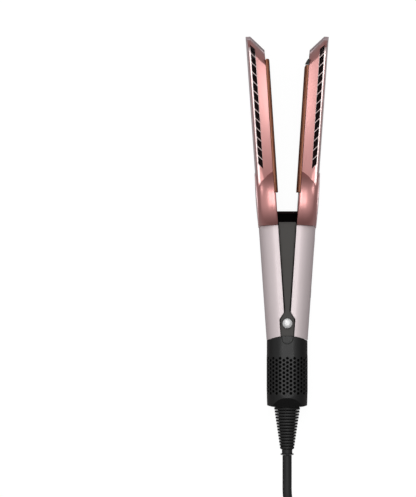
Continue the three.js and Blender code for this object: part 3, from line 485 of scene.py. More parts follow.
def smoked_glass(name, color):
    """The display's window: dark and polished, with faint smudges."""
    finish = Finish(name, color, 0.06, coat=0.6, coat_roughness=0.03)
    smudge = finish.noise(60, 4)
    finish.color(smudge.above(0.6, 0.2) * 0.3, color, (34, 34, 38))
    finish.set("Roughness", smudge * 0.12 + 0.03)
    finish.bump(smudge, 0.00001, 0.2)
    return finish


FINISHES = {
    "pale_shell": pearl_lacquer("pale_lacquer", (227, 215, 216), (217, 203, 205), 0.35, 0.5, coat=0.25),
    # The copper's rim colour is a painted highlight
    "copper": pearl_lacquer("copper_lacquer", (221, 155, 150), (203, 129, 125), 0.8, 0.34, coat=1.0,
                           coat_roughness=0.32, coat_ior=1.85, rim=(240, 216, 214)),
    "mauve": pearl_lacquer("mauve_lacquer", (204, 184, 187), (188, 166, 170), 0.12, 0.5),
    "ring_pink": pearl_lacquer("ring_lacquer", (252, 220, 219), (246, 208, 208), 0.2, 0.36),
    "gold": brushed_metal("gold_anodised", (117, 75, 58), 0.4),
    "black_plastic": moulded_plastic("black_moulding", (17, 6, 7), 0.55, specular=0.05),
    "spine_grey": moulded_plastic("spine_moulding", (52, 49, 46), 0.5),
    "cage_black": moulded_plastic("cage_moulding", (11, 11, 11), 0.43),
    "steel": brushed_metal("plain_steel", (196, 196, 194), 0.36),
    "bright_steel": brushed_metal("turned_steel", (224, 224, 224), 0.5, stretch=(1, 1, 1)),
    "board_green": lacquered_board("board_lacquer", (26, 74, 48)),
    "copper_winding": wound_wire("wire_enamel", (170, 96, 44)),
    "rubber": soft_rubber("lead_rubber", (26, 26, 26), 0.55),
    "smoked_window": smoked_glass("window_smoke", (12, 13, 15)),
}
STRAP = woven_strap("strap_pile", (20, 20, 21))
FILTER_MESH = fine_mesh("filter_wire", (60, 60, 58))
# A near-black sheet behind the cage's holes: painted shade for their insides
HOLE_SHADE = moulded_plastic("hole_shade_finish", (9, 9, 9), 0.9, specular=0.05)


# Outlines
def arc(x, y, radius, start, end, steps):
    angles = [radians(start + (end - start) * i / steps) for i in range(steps + 1)]
    return [(x + radius * cos(a), y + radius * sin(a)) for a in angles]


def through(points, steps):
    """A smooth line through points of two or three coordinates, straight out of its ends."""
    rows = [Vector(points[0]) * 2 - Vector(points[1])]
    rows += [Vector(point) for point in points]
    rows.append(rows[-1] * 2 - rows[-2])
    line = []
    for a, b, c, d in zip(rows, rows[1:], rows[2:], rows[3:]):
        for i in range(steps):
            t = i / steps
            line.append(0.5 * (2 * b + (c - a) * t + (2 * a - 5 * b + 4 * c - d) * t * t
                               + (3 * b - a - 3 * c + d) * t * t * t))
    return line + [rows[-2]]


def rounded_rectangle(x, y, half_width, half_height, radius, steps):
    reach, rise = half_width - radius, half_height - radius
    corners = ((reach, -rise), (reach, rise), (-reach, rise), (-reach, -rise))
    return [point for i, (a, b) in enumerate(corners)
            for point in arc(x + a, y + b, radius, 90 * i - 90, 90 * i, steps)]


def circle(x, y, radius, steps):
    return arc(x, y, radius, 0, 360 - 360 / steps, steps - 1)


# Meshes, in millimetres until a piece is made of them
def reworked(mesh, work=None):
    """The mesh after some work on it, with its faces looking outwards."""
    body = bmesh.new()
    body.from_mesh(mesh)
    if work:
        work(body)
    bmesh.ops.recalc_face_normals(body, faces=body.faces)
    body.to_mesh(mesh)
    body.free()
    return mesh


def loft(rings, closed=False):
    """Skin over rings of as many points each, with flat ends unless the last joins the first."""
    count = len(rings[0])
    spans = len(rings) if closed else len(rings) - 1
    faces = []
    for i in range(spans):
        a, b = i * count, (i + 1) % len(rings) * count
        faces += [(a + k, a + (k + 1) % count, b + (k + 1) % count, b + k) for k in range(count)]
    if not closed:
        faces += [tuple(range(count)), tuple(range((len(rings) - 1) * count, len(rings) * count))]
    mesh = bpy.data.meshes.new("blank")
    mesh.from_pydata([tuple(point) for ring in rings for point in ring], [], faces)
    return reworked(mesh)


def stacked(axis, stations):
    """Skin over outlines across an axis, each given after its place along it."""
    return loft([[(*point[:axis], place, *point[axis:]) for point in outline]
                 for place, outline in stations])


def prism_x(outline, low, high):
    return stacked(0, [(low, outline), (high, outline)])


def prism_y(outline, low, high):
    return stacked(1, [(low, outline), (high, outline)])


def prism_z(outline, low, high):
    return stacked(2, [(low, outline), (high, outline)])


def block(x0, x1, y0, y1, z0, z1):
    return prism_z([(x0, y0), (x1, y0), (x1, y1), (x0, y1)], z0, z1)


def turned(profile, steps):
    """A closed profile of [radius, height] points turned about Z."""
    def weld(body):
        bmesh.ops.remove_doubles(body, verts=body.verts, dist=0.001)
        bmesh.ops.dissolve_degenerate(body, edges=body.edges, dist=0.001)

    rings = []
    for i in range(steps):
        a = 2 * pi * i / steps
        rings.append([(r * cos(a), r * sin(a), h) for r, h in profile])
    return reworked(loft(rings, closed=True), weld)


def turned_on_lead(profile):
    """A profile of [radius, y] turned about the lead's axis."""
    mesh = turned(profile, 96)
    mesh.transform(Matrix.Translation((0, 0, AXIS_Z)) @ Matrix.Rotation(-pi / 2, 4, "X"))
    return mesh


def worked(operation, base, tools):
    """The base after a cut, join or overlap with each tool."""
    blank = placed("blank", base)
    others = [placed("tool", tool) for tool in tools]
    for other in others:
        step = blank.modifiers.new("step", "BOOLEAN")
        step.operation = operation
        step.solver = "MANIFOLD"
        step.object = other
    bpy.context.view_layer.update()
    evaluated = blank.evaluated_get(bpy.context.evaluated_depsgraph_get())
    result = bpy.data.meshes.new_from_object(evaluated)
    for used in [blank, *others]:
        mesh = used.data
        bpy.data.objects.remove(used)
        if not mesh.users:
            bpy.data.meshes.remove(mesh)
    return result


def cut(base, *tools):
    return worked("DIFFERENCE", base, tools)


def joined(base, *tools):
    return worked("UNION", base, tools)


def common(base, *tools):
    return worked("INTERSECT", base, tools)


def together(*meshes):
    """Meshes side by side in one, without joining their bodies."""
    body = bmesh.new()
    for mesh in meshes:
        body.from_mesh(mesh)
        bpy.data.meshes.remove(mesh)
    whole = bpy.data.meshes.new("blank")
    body.to_mesh(whole)
    body.free()
    return whole


# Pieces
def piece(name, mesh, finish, body, replaces=()):
    mesh.transform(Matrix.Scale(MM, 4))
    mesh.shade_smooth()
    mesh.set_sharp_from_angle(angle=SHARP_ANGLE)
    mesh.materials.clear()
    mesh.materials.append(finish.material)
    made = placed(name, mesh)
    mesh.name = name
    even = made.modifiers.new("even_normals", "WEIGHTED_NORMAL")
    even.keep_sharp = True
    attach(made, body)
    if replaces:
        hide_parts(*replaces)
    return made


def skin(name, mesh, slot, body, *nodes):
    """A piece with the finish of its slot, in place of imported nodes."""
    return piece(name, mesh, FINISHES[slot], body, nodes)


def on_arm(mesh, side):
    """From the drawn place, closed on the right, to where the arm lies open."""
    for vertex in mesh.vertices:
        along = (vertex.co.y - FOOT_Y) / (TIP_Y - FOOT_Y)
        vertex.co.x *= FOOT_SCALE + (TIP_SCALE - FOOT_SCALE) * along
    mesh.transform(Matrix.Rotation(-OPEN_ANGLE, 4, "Z"))
    if side < 0:
        mesh.transform(Matrix.Diagonal((-1, 1, 1, 1)))
        mesh.flip_normals()
    return mesh


def arm_piece(what, mesh, slot, side):
    arm = "right" if side > 0 else "left"
    skin(f"{what}_{arm}_skin", on_arm(mesh, side), slot, f"{arm}_arm", f"{what}_{arm}")


# The arms, drawn closed as the right one
def handle_section(inset):
    x = ARM_HALF_WIDTH - CORNER
    radius = CORNER - inset
    return [(-3, inset), *arc(x, CORNER, radius, -90, 0, 20),
            *arc(x, HANDLE_DEPTH - CORNER, radius, 0, 90, 20), (-3, HANDLE_DEPTH - inset)]


def housing_section(inset, low_z):
    arc_x = ARM_HALF_WIDTH - CORNER
    arc_z = HANDLE_DEPTH - CORNER
    seam_x = arc_x + sqrt(CORNER ** 2 - (SPLIT_Z - arc_z) ** 2)
    rim_x = ARM_HALF_WIDTH - RIM_INSET
    rim = max(RIM_RADIUS - inset, 0.2)
    flank = through([(seam_x, SPLIT_Z), (rim_x + 0.55, SPLIT_Z + 4.6), (rim_x + 0.12, SPLIT_Z + 9),
                     (rim_x, WORK_DEPTH - RIM_RADIUS)], 5)[:-1]
    return [
        (WORK_INNER_X + inset, low_z),
        (seam_x - inset, low_z),
        *[(x - inset, z) for x, z in flank],
        *arc(rim_x - inset - rim, WORK_DEPTH - inset - rim, rim, 0, 90, 8),
        (LAND_X, WORK_DEPTH - LAND_DROP - inset),
        (WORK_INNER_X + inset, WORK_DEPTH - FACE_DROP - inset),
    ]


def below_tip(drop, front):
    """All that lies below the tip. It slants back inwards. Its profile has a flat curve at the back,
    and front points of [distance below the end, z], which sink with the slanting front face."""
    top = TIP_Y - drop
    back = arc(top - TIP_BACK_Y, TIP_BACK_Z, TIP_BACK_RADIUS, *TIP_BACK_ARC, 14)
    outline = [(FOOT_Y - 40, -1), (back[0][0], -1), *back, *[(top - below, z) for below, z in front],
               (FOOT_Y - 40, front[-1][1])]

    def sink(x):
        if x > LAND_X:
            return LAND_DROP * max(TIP_SLOPE_X - x, 0) / (TIP_SLOPE_X - LAND_X)
        return LAND_DROP + (FACE_DROP - LAND_DROP) * (LAND_X - x) / (LAND_X - WORK_INNER_X)

    rings = []
    for x in (-1, LAND_X, TIP_SLOPE_X, ARM_HALF_WIDTH + 9):
        shift = TIP_SLOPE * max(TIP_SLOPE_X - x, 0)
        rings.append([(x, y - shift, z - sink(x) if z > SPLIT_Z - 5 else z) for y, z in outline])
    return loft(rings)


def rounded_front(radius, front_z):
    """The housing's end: rounded, with a crease where the rounding starts."""
    turn = radians(TIP_FRONT_TURN)
    curve = arc(-radius, front_z - radius * sin(turn), radius, 0, TIP_FRONT_TURN, 16)
    return [*[(-x, z) for x, z in curve], (radius * (1 - cos(turn)), WORK_DEPTH + 40)]


# The shell's and cap's end: a small bevel beside the seam
BEVELLED_FRONT = [(0, SPLIT_Z - 4.2), (2.7, SPLIT_Z), (2.7, WORK_DEPTH + 40)]


def disc_pocket():
    return prism_x(disc_outline(DISC_RADIUS + GAP, DISC_CHORD_Z - GAP),
                   DISC_BACK_X - GAP, ARM_HALF_WIDTH + 5)


def disc_outline(radius, chord_z, bow=0):
    """A circle cut by a chord, which bows up by that much in its middle."""
    half = degrees(acos((chord_z - DISC_Z) / radius))
    outline = arc(DISC_Y, DISC_Z, radius, 90 - half, 90 + half, 72)
    if bow:
        reach = radius * sin(radians(half))
        outline += [(DISC_Y - reach + 2 * reach * i / 20, chord_z + bow * sin(pi * i / 20))
                    for i in range(1, 20)]
    return outline


def control_outline(control, grow):
    y, half_length, half_width, radius = CONTROLS[control]
    return rounded_rectangle(y, AXIS_Z, half_length + grow, half_width + grow, max(radius + grow, 0.3), 14)


def shell_half(side):
    """The pale shell: the handle's half and the back half of the working length."""
    outside = common(prism_y(handle_section(0), FOOT_Y - 8, TIP_Y - CAP_LIP),
                     block(HANDLE_INNER_X, PAST_ARM_X, FOOT_Y - 9, TIP_Y, -1, HANDLE_DEPTH + 1))
    hollow = prism_y(handle_section(SHELL_WALL), FOOT_Y - 9, TIP_Y)
    front_off = block(-1, PAST_ARM_X, SEAM_Y - GAP / 2, TIP_Y + 5, SPLIT_Z - GAP / 2, WORK_DEPTH + 9)
    past = ARM_HALF_WIDTH + 9
    foot_line = [past * (1 - i / 24) for i in range(25)]
    foot = prism_z([(-1, 2 * FOOT_Y), (past, 2 * FOOT_Y)]
                   + [(x, FOOT_Y - FOOT_DROP * (x / ARM_HALF_WIDTH) ** 2) for x in foot_line],
                   -2, HANDLE_DEPTH + 2)
    notch = prism_z([
        (-1, FOOT_Y - 20), (NOTCH_HALF_WIDTH, FOOT_Y - 20),
        *arc(NOTCH_HALF_WIDTH - 1.6, NOTCH_SHOULDER_Y, 1.6, 0, 60, 8),
        (HANDLE_INNER_X + 0.6, NOTCH_NECK_Y - 0.7), (HANDLE_INNER_X, NOTCH_NECK_Y + 0.6),
        (-1, NOTCH_NECK_Y + 0.6),
    ], -2, HANDLE_DEPTH + 2)
    tools = [hollow, front_off, foot, notch, disc_pocket()]
    if side > 0:
        tools += [prism_x(control_outline(control, BUTTON_CLEARANCE), ARM_HALF_WIDTH - 6, past)
                  for control in CONTROLS]
    return common(cut(outside, *tools), below_tip(CAP_LIP, BEVELLED_FRONT))


def bulb(inset):
    """The rounded bulge at the housing's hinge end, turned about a line across the arm."""
    inner = BULB_INNER_X + inset
    outer = DISC_BACK_X - GAP - inset
    radius = BULB_RADIUS - inset
    stations = ((0.1, 0.3), (0.4, 0.5), (1.3, 0.7), (3, 0.87), (6, 1))
    side = through([(radius - 0.9, inner), (radius, inner + 1.2),
                    *[(radius - fall, inner + share * (outer - inner)) for fall, share in stations]], 5)
    rises = ((1.6, 0.7), (4.5, 1.1), (9, 1.4), (16, 1.6))
    cap = [(radius - 6 - fall, outer + rise) for fall, rise in rises]
    mesh = turned([(0, inner), *side, *cap, (0, outer + 1.7)], 120)
    mesh.transform(Matrix(((0, 0, 1, 0), (1, 0, 0, BULB_Y), (0, 1, 0, BULB_Z), (0, 0, 0, 1))))
    return mesh


def front_housing():
    """The copper housing: a lid over the front half, its bulge and its row of slots."""
    low = SPLIT_Z + GAP / 2
    top = BULB_Z + BULB_RADIUS + 5

    def lid(wall, base):
        """The housing's outside or, inset by its wall, its hollow, down to a base."""
        handle_front = common(
            prism_y(handle_section(wall), SEAM_Y - 4, INNER_STEP_Y - 2),
            block(BULB_INNER_X + wall, PAST_ARM_X, SEAM_Y - 5, INNER_STEP_Y, base - 1, WORK_DEPTH))
        working = prism_y(housing_section(wall, base - 1), INNER_STEP_Y - 4, TIP_Y + 4)
        body = cut(joined(working, handle_front, bulb(wall)),
                   block(-2, WORK_INNER_X + wall, INNER_STEP_Y - wall, TIP_Y, 0, WORK_DEPTH + 12))
        end = rounded_front(TIP_FRONT_RADIUS - wall, WORK_DEPTH - wall)
        return common(body, block(-1, PAST_ARM_X, SEAM_Y + GAP / 2 + wall, TIP_Y + 4, base, top),
                      below_tip(HOUSING_TIP_DROP + wall, end))

    x0, x1 = LAND_X, LAND_X + SLOT_WIDTH
    slots = []
    for i in range(SLOT_COUNT):
        y0 = SLOT_START_Y + i * SLOT_PITCH
        y1 = y0 + SLOT_PITCH - SLOT_RIB
        slots.append(prism_z([(x0, y0), (x1, y0 + SLOT_SLANT), (x1, y1 + SLOT_SLANT), (x0, y1)],
                             WORK_DEPTH - HOUSING_WALL - 7, WORK_DEPTH + 3))
    for_spine = block(-1, SPINE_HALF_WIDTH + 2.4, SEAM_Y - 5, SPINE_END_Y + 2, low - 5, SPINE_FRONT_Z + 0.8)
    for_cover = block(-1, COVER_HALF_WIDTH + 1.4, SEAM_Y - 5, COVER_START_Y + 1, low - 5, COVER_TOP_Z + 0.6)
    return cut(lid(0, low), lid(HOUSING_WALL, low - 5), for_spine, for_cover, disc_pocket(), *slots)


def tip_cap():
    body = common(prism_y(handle_section(0), TIP_Y - 60, TIP_Y + 4),
                  block(WORK_INNER_X, PAST_ARM_X, 0, TIP_Y + 9, -3, SPLIT_Z - GAP / 2),
                  below_tip(0, BEVELLED_FRONT))
    return cut(body, below_tip(CAP_LIP - GAP, BEVELLED_FRONT))


def disc_ring():
    whole = prism_x(disc_outline(DISC_RADIUS, DISC_CHORD_Z), DISC_BACK_X, DISC_OUTER_X)
    return cut(whole, prism_x(disc_outline(DISC_RADIUS - DISC_RING, DISC_CHORD_Z - 3),
                              DISC_OUTER_X - 3, DISC_OUTER_X + 3))


def disc_inlay():
    return prism_x(disc_outline(DISC_RADIUS - DISC_RING - GAP, DISC_CHORD_Z + 0.6 + GAP, bow=2.2),
                   DISC_BACK_X, DISC_OUTER_X - 0.1)


def domed(mesh):
    """The disc bent outwards, most in its middle."""
    def bend(body):
        bmesh.ops.triangulate(body, faces=body.faces)
        for step in range(-24, 25, 4):
            for place, way in (((0, DISC_Y + step, 0), (0, 1, 0)), ((0, 0, DISC_Z + step), (0, 0, 1))):
                bmesh.ops.bisect_plane(body, geom=[*body.verts, *body.edges, *body.faces],
                                       plane_co=place, plane_no=way)
        for vertex in body.verts:
            off = hypot(vertex.co.y - DISC_Y, vertex.co.z - DISC_Z) / DISC_RADIUS
            vertex.co.x += DISC_DOME * max(1 - off * off, 0)

    return reworked(mesh, bend)


def guide_bar(low_z, end_y):
    """A bar whose edge towards the other arm is rounded on the outside, and so is its far end."""
    x0, x1 = BAR_INNER_X, BAR_INNER_X + BAR_WIDTH
    high_z = low_z + BAR_DEPTH
    if low_z > HANDLE_DEPTH / 2:
        section = [(x1, low_z), (x1, high_z), *arc(x0 + BAR_EDGE, high_z - BAR_EDGE, BAR_EDGE, 90, 180, 10),
                   (x0, low_z)]
    else:
        section = [(x1, low_z), (x1, high_z), (x0, high_z),
                   *arc(x0 + BAR_EDGE, low_z + BAR_EDGE, BAR_EDGE, 180, 270, 10)]
    above = prism_z([(x0 - 1, BAR_START_Y), (x1 + 1, BAR_START_Y), (x1 + 1, end_y), (x0 + 1.5, end_y),
                     *arc(x0 + 1.5, end_y - 1.5, 1.5, 90, 180, 12), (x0 - 1, end_y - 1.5)],
                    low_z - 1, high_z + 1)
    return common(prism_y(section, BAR_START_Y - 1, end_y + 1), above)


def keyway_shade_blocks():
    """Black blocks at the ring's two ends: painted shade standing in for the inside of its small keyways.
    """
    reach = sqrt(DISC_RADIUS ** 2 - (DISC_CHORD_Z - DISC_Z) ** 2) - 1.3
    return together(*[block(DISC_BACK_X, DISC_OUTER_X - 0.35, y - 1.5, y + 1.5,
                            DISC_CHORD_Z - 0.25, DISC_CHORD_Z + 0.55)
                      for y in (DISC_Y - reach, DISC_Y + reach)])


def button(control):
    """A button with a rounded edge, a dished top and a flange behind the shell."""
    face = ARM_HALF_WIDTH + BUTTON_PROUD
    flange_top = ARM_HALF_WIDTH - SHELL_WALL - GAP
    layers = [(0.9, flange_top - 1), (0.9, flange_top), (0, flange_top + 0.05), (0, face - 0.6),
              (-0.16, face - 0.22), (-0.45, face), (-1.1, face - 0.12), (-2, face - 0.25)]
    return stacked(0, [(x, control_outline(control, grow)) for grow, x in layers])


def dress_arm(side):
    arm = "right" if side > 0 else "left"
    arm_piece("shell", shell_half(side), "pale_shell", side)
    arm_piece("front_housing", front_housing(), "copper", side)
    arm_piece("tip_cap", tip_cap(), "mauve", side)
    arm_piece("disc_ring", domed(disc_ring()), "ring_pink", side)
    arm_piece("disc_inlay", domed(disc_inlay()), "pale_shell", side)
    bar_end = BAR_END_Y - BUMPER_LENGTH - GAP if side > 0 else BAR_END_Y
    arm_piece("front_guide_bar", guide_bar(FRONT_BAR_Z, bar_end), "gold", side)
    arm_piece("rear_guide_bar", guide_bar(REAR_BAR_Z, bar_end), "gold", side)
    # Black blocks painted as the shade inside the ring's keyways
    skin(f"keyway_shade_{arm}", on_arm(keyway_shade_blocks(), side), "black_plastic", f"{arm}_arm")


def dress_controls():
    outline = control_outline("display_window", 0)
    window = prism_x(outline, ARM_HALF_WIDTH - SHELL_WALL, ARM_HALF_WIDTH - 0.1)
    skin("display_window_pane", on_arm(window, 1), "smoked_window", "right_arm", "display_window")
    for key in ("power", "heat", "airflow"):
        skin(f"{key}_button_cap", on_arm(button(f"{key}_button"), 1), "black_plastic", f"{key}_key",
             f"{key}_button")


# The middle: cover, pin, lock and cage
COVER_TOP_Z = SPINE_FRONT_Z + GAP + COVER_THICKNESS
PIN_HEAD_Z = COVER_TOP_Z + PIN_HEAD_RISE
END_CAP_TOP_Y = CAGE_BOTTOM_Y + CAGE_FLOOR + END_CAP_FLOOR


def cover_outline(inset):
    right = [
        (COVER_FOOT_HALF_WIDTH - inset / 2, COVER_FOOT_Y + inset),
        *arc(COVER_PIN_HALF_WIDTH - 2.1, NOTCH_SHOULDER_Y - 0.5, 2.1 - inset / 2, 0, 50, 6),
        (COVER_NECK_HALF_WIDTH + 0.1 - inset / 4, COVER_NECK_Y - 2),
        (COVER_NECK_HALF_WIDTH - inset / 4, COVER_NECK_Y),
        (COVER_HALF_WIDTH - inset, COVER_START_Y - 0.4 - inset),
        (COVER_HALF_WIDTH - 0.4 - inset, COVER_START_Y - inset),
    ]
    return right + [(-x, y) for x, y in reversed(right)]


def spine_cover():
    bottom = SPINE_FRONT_Z + GAP
    plate = prism_z(cover_outline(0), bottom, COVER_TOP_Z - 0.35)
    raised = prism_z(cover_outline(1.1), bottom + 0.5, COVER_TOP_Z)
    bore = prism_z(circle(0, 0, PIN_RADIUS + RUNNING_GAP, 40), bottom - 2, COVER_TOP_Z + 2)
    return cut(joined(plate, raised), bore)


def hinge_pin():
    falls = ((0.2, 0.8), (1.3, 0.36), (2.7, 0.08))
    dome = through([(PIN_HEAD_RADIUS, PIN_HEAD_Z), (PIN_HEAD_RADIUS, PIN_HEAD_TOP_Z - 1.05),
                    *[(PIN_HEAD_RADIUS - inset, PIN_HEAD_TOP_Z - fall) for inset, fall in falls],
                    (0.001, PIN_HEAD_TOP_Z)], 6)
    return turned([(0, 0), (PIN_HEAD_RADIUS - 0.3, 0), (PIN_HEAD_RADIUS, 0.3),
                   (PIN_HEAD_RADIUS, PIN_REAR_HEAD), (PIN_RADIUS, PIN_REAR_HEAD), (PIN_RADIUS, PIN_HEAD_Z),
                   *dome, (0, PIN_HEAD_TOP_Z)], 64)


def pin_washer():
    bore = PIN_RADIUS + RUNNING_GAP
    return turned([(bore, COVER_TOP_Z + GAP), (PIN_HEAD_RADIUS + 0.4, COVER_TOP_Z + GAP),
                   (PIN_HEAD_RADIUS + 0.35, PIN_HEAD_Z - 0.5), (PIN_HEAD_RADIUS + 0.2, PIN_HEAD_Z - 0.25),
                   (bore, PIN_HEAD_Z - 0.25)], 64)


def lock_outline(inset):
    half = LOCK_HALF_WIDTH - inset
    top = LOCK_TOP_Y - inset
    return [(half - 0.8, top), (-half + 0.8, top), (-half, top - 0.8),
            *arc(0, LOCK_ROUND_Y, half, 180, 360, 36), (half, top - 0.8)]


def lock_slider():
    """The sliding tongue: rounded edge, and a crescent for the thumb at its round end."""
    layers = ((0, COVER_TOP_Z + GAP), (0, LOCK_TOP_Z - 0.5), (0.15, LOCK_TOP_Z - 0.15), (0.5, LOCK_TOP_Z))
    smile = prism_z([*arc(0, LOCK_ROUND_Y, LOCK_HALF_WIDTH + 0.2, 224, 316, 20),
                     *arc(0, LOCK_ROUND_Y + 2.4, LOCK_HALF_WIDTH + 1.5, 312, 228, 20)],
                    LOCK_TOP_Z - 1.2, LOCK_TOP_Z + 1)
    return cut(stacked(2, [(z, lock_outline(inset)) for inset, z in layers]), smile)


def cage_section(inset, corner=CORNER):
    half = CAGE_DEPTH / 2
    return rounded_rectangle(0, half, CAGE_HALF_WIDTH - inset, half - inset, corner - inset, 20)


def cage_profile(inset):
    bottom = CAGE_BOTTOM_Y + (CAGE_FLOOR if inset else 0)
    edge = CAGE_BOTTOM_Y + CAGE_CHAMFER_Y + (0.35 * CAGE_WALL if inset else 0)
    top = CAGE_DEPTH - inset
    rise = CAGE_CHAMFER_Z - (bottom - CAGE_BOTTOM_Y) * CAGE_CHAMFER_Z / CAGE_CHAMFER_Y
    return [(20, inset), (20, top), (edge, top), (bottom, top - rise),
            (bottom, inset + rise), (edge, inset)]


def places_round(section, count):
    """Places spread evenly round a closed outline from the middle of its last side, each with
    its direction outwards."""
    middle = (Vector(section[0]) + Vector(section[-1])) / 2
    corners = [middle, *[Vector(corner) for corner in section], middle]
    lengths = [(b - a).length for a, b in zip(corners, corners[1:])]
    places = []
    for k in range(count):
        left = sum(lengths) * k / count
        i = 0
        while left > lengths[i]:
            left -= lengths[i]
            i += 1
        along = (corners[i + 1] - corners[i]).normalized()
        places.append((corners[i] + along * left, Vector((along.y, -along.x))))
    return places


def cage_drills():
    """A drill for each hole. Every second column stands half a step lower."""
    drills = []
    for column, (place, out) in enumerate(places_round(cage_section(CAGE_WALL / 2), HOLE_COLUMNS)):
        across = Vector((-out.y, out.x))
        for row in range(HOLE_ROWS):
            y = HOLE_TOP_Y - (row + column % 2 / 2) * HOLE_PITCH
            rings = []
            for reach in (-CAGE_WALL * 1.2, CAGE_WALL * 1.2):
                flats = [(place + out * reach + across * a, b) for a, b in circle(0, y, HOLE_RADIUS, 14)]
                rings.append([(flat.x, along, flat.y) for flat, along in flats])
            drills.append(loft(rings))
    return together(*drills)


def filter_cage():
    low = HOLE_BOTTOM_Y
    foot = CAGE_FOOT_CORNER
    swell = ((CAGE_BOTTOM_Y, 0.6, foot), (CAGE_BOTTOM_Y + 1, 0.3, foot),
             (CAGE_BOTTOM_Y + 5, 0.1, foot - 0.2), (CAGE_BOTTOM_Y + 9, 0, foot - 1.6),
             (low - 1, 0, CORNER), (low + 2, -0.15, CORNER), (HOLE_TOP_Y, -0.15, CORNER),
             (HOLE_TOP_Y + 3.5, 0, CORNER), (0, 0, CORNER))
    sleeve = stacked(1, [(y, cage_section(inset, corner)) for y, inset, corner in swell])
    outside = common(sleeve, prism_x(cage_profile(0), -PAST_CAGE, PAST_CAGE))
    inside = ((CAGE_BOTTOM_Y + CAGE_FLOOR, foot), (CAGE_BOTTOM_Y + 5, foot - 0.2),
              (CAGE_BOTTOM_Y + 9, foot - 1.6), (low - 1, CORNER), (1, CORNER))
    hollow = common(stacked(1, [(y, cage_section(CAGE_WALL, corner)) for y, corner in inside]),
                    prism_x(cage_profile(CAGE_WALL), -PAST_CAGE, PAST_CAGE))

    def past(end, edge, bend, power):
        """All past the cage's edge, which bends by that much out to the sides."""
        across = [-28 + 56 * i / 40 for i in range(41)]
        line = [(x, edge + bend * (x / CAGE_HALF_WIDTH) ** power) for x in across]
        return prism_z([(PAST_CAGE, end), (-PAST_CAGE, end), *line], -5, CAGE_DEPTH + 5)

    above = past(9, CAGE_TOP_Y, -CAGE_TOP_DROP, 2)
    below = past(CAGE_BOTTOM_Y - 9, CAGE_BOTTOM_Y, CAGE_BOTTOM_BOW, 4)
    lock_notch = prism_z([(LOCK_HALF_WIDTH + LOCK_FIT, 5), (-LOCK_HALF_WIDTH - LOCK_FIT, 5),
                          *arc(0, LOCK_ROUND_Y, LOCK_HALF_WIDTH + LOCK_FIT, 180, 360, 36)],
                         CAGE_DEPTH - CAGE_WALL - 3, CAGE_DEPTH + 3)
    relief_hole = prism_y(circle(0, AXIS_Z, RELIEF_TOP_RADIUS + 0.7, 72),
                          CAGE_BOTTOM_Y - 5, CAGE_BOTTOM_Y + 9)
    return cut(outside, hollow, above, below, lock_notch, relief_hole, cage_drills())


def hole_shade_sheet():
    """A thin black sheet behind the holes: painted shade that keeps them dark."""
    low, high = HOLE_BOTTOM_Y - 0.8, HOLE_TOP_Y + 2
    return cut(prism_y(cage_section(CAGE_WALL + 0.2), low, high),
               prism_y(cage_section(CAGE_WALL + 0.42), low - 1, high + 1))


# Turned pieces on the lead's axis
def strain_relief():
    """A stack of cup-shaped, round-edged fins on a slim core."""
    flange = END_CAP_TOP_Y - GAP
    first = RELIEF_TOP_RADIUS - 0.6
    profile = [(0, flange), (first, flange), (first, CAGE_BOTTOM_Y - 0.4)]
    for i in range(RELIEF_FINS):
        y = CAGE_BOTTOM_Y - 0.4 - i * RELIEF_PITCH
        outer = RELIEF_TOP_RADIUS + (RELIEF_END_RADIUS - RELIEF_TOP_RADIUS) * i / (RELIEF_FINS - 1)
        if i:
            profile.append((RELIEF_CORE_RADIUS, y - RELIEF_SLANT))
        profile += [(outer - 0.25, y - 0.05), (outer, y - 0.35), (outer, y - RELIEF_FIN + 0.35),
                    (outer - 0.25, y - RELIEF_FIN + 0.05),
                    (RELIEF_CORE_RADIUS, y - RELIEF_FIN - RELIEF_SLANT)]
    last = RELIEF_END_FLANGE
    profile += [(radius, RELIEF_END_Y + rise) for radius, rise in (
        (RELIEF_CORE_RADIUS, 1.3), (last - 0.2, 1.2), (last, 0.9), (last, 0.2), (last - 0.2, 0), (0, 0))]
    return turned_on_lead(profile)


def tube_ring(outer, inner, low, high, edge=0.3):
    """A short tube whose outer edges are rounded."""
    return turned_on_lead([(inner, low), (outer - edge, low), (outer, low + edge), (outer, high - edge),
                           (outer - edge, high), (inner, high)])


def dress_motor():
    inner = MOTOR_RADIUS - MOTOR_WALL
    eye = 5.2
    skin("motor_can", turned_on_lead([
        (inner, MOTOR_BOTTOM_Y), (MOTOR_RADIUS, MOTOR_BOTTOM_Y), (MOTOR_RADIUS, MOTOR_TOP_Y - 0.8),
        (MOTOR_RADIUS - 0.8, MOTOR_TOP_Y), (eye, MOTOR_TOP_Y), (eye, MOTOR_TOP_Y - 2),
        (inner, MOTOR_TOP_Y - 2),
    ]), "steel", "base", "motor_housing")
    low = MOTOR_BOTTOM_Y - 8
    sleeve = tube_ring(FILTER_RADIUS, FILTER_RADIUS - FILTER_WALL, low, FILTER_TOP_Y, 0.1)
    piece("filter_sleeve", sleeve, FILTER_MESH, "base", ["mesh_filter"])
    lining = FILTER_RADIUS - FILTER_WALL - GAP
    collar = tube_ring(lining, MOTOR_RADIUS + GAP, COLLAR_LOW_Y, COLLAR_HIGH_Y)
    skin("collar_ring", collar, "rubber", "base", "motor_collar")
    seat = FILTER_RADIUS - 1
    base = END_CAP_TOP_Y
    skin("filter_end_cap", turned_on_lead([
        (0, base), (seat - 0.4, base), (seat, base + 0.4), (seat, low - GAP), (lining, low - GAP),
        (lining, MOTOR_BOTTOM_Y - 4), (12, MOTOR_BOTTOM_Y - 4), (11, MOTOR_BOTTOM_Y - 6),
        (0, MOTOR_BOTTOM_Y - 6),
    ]), "black_plastic", "base", "end_cap")


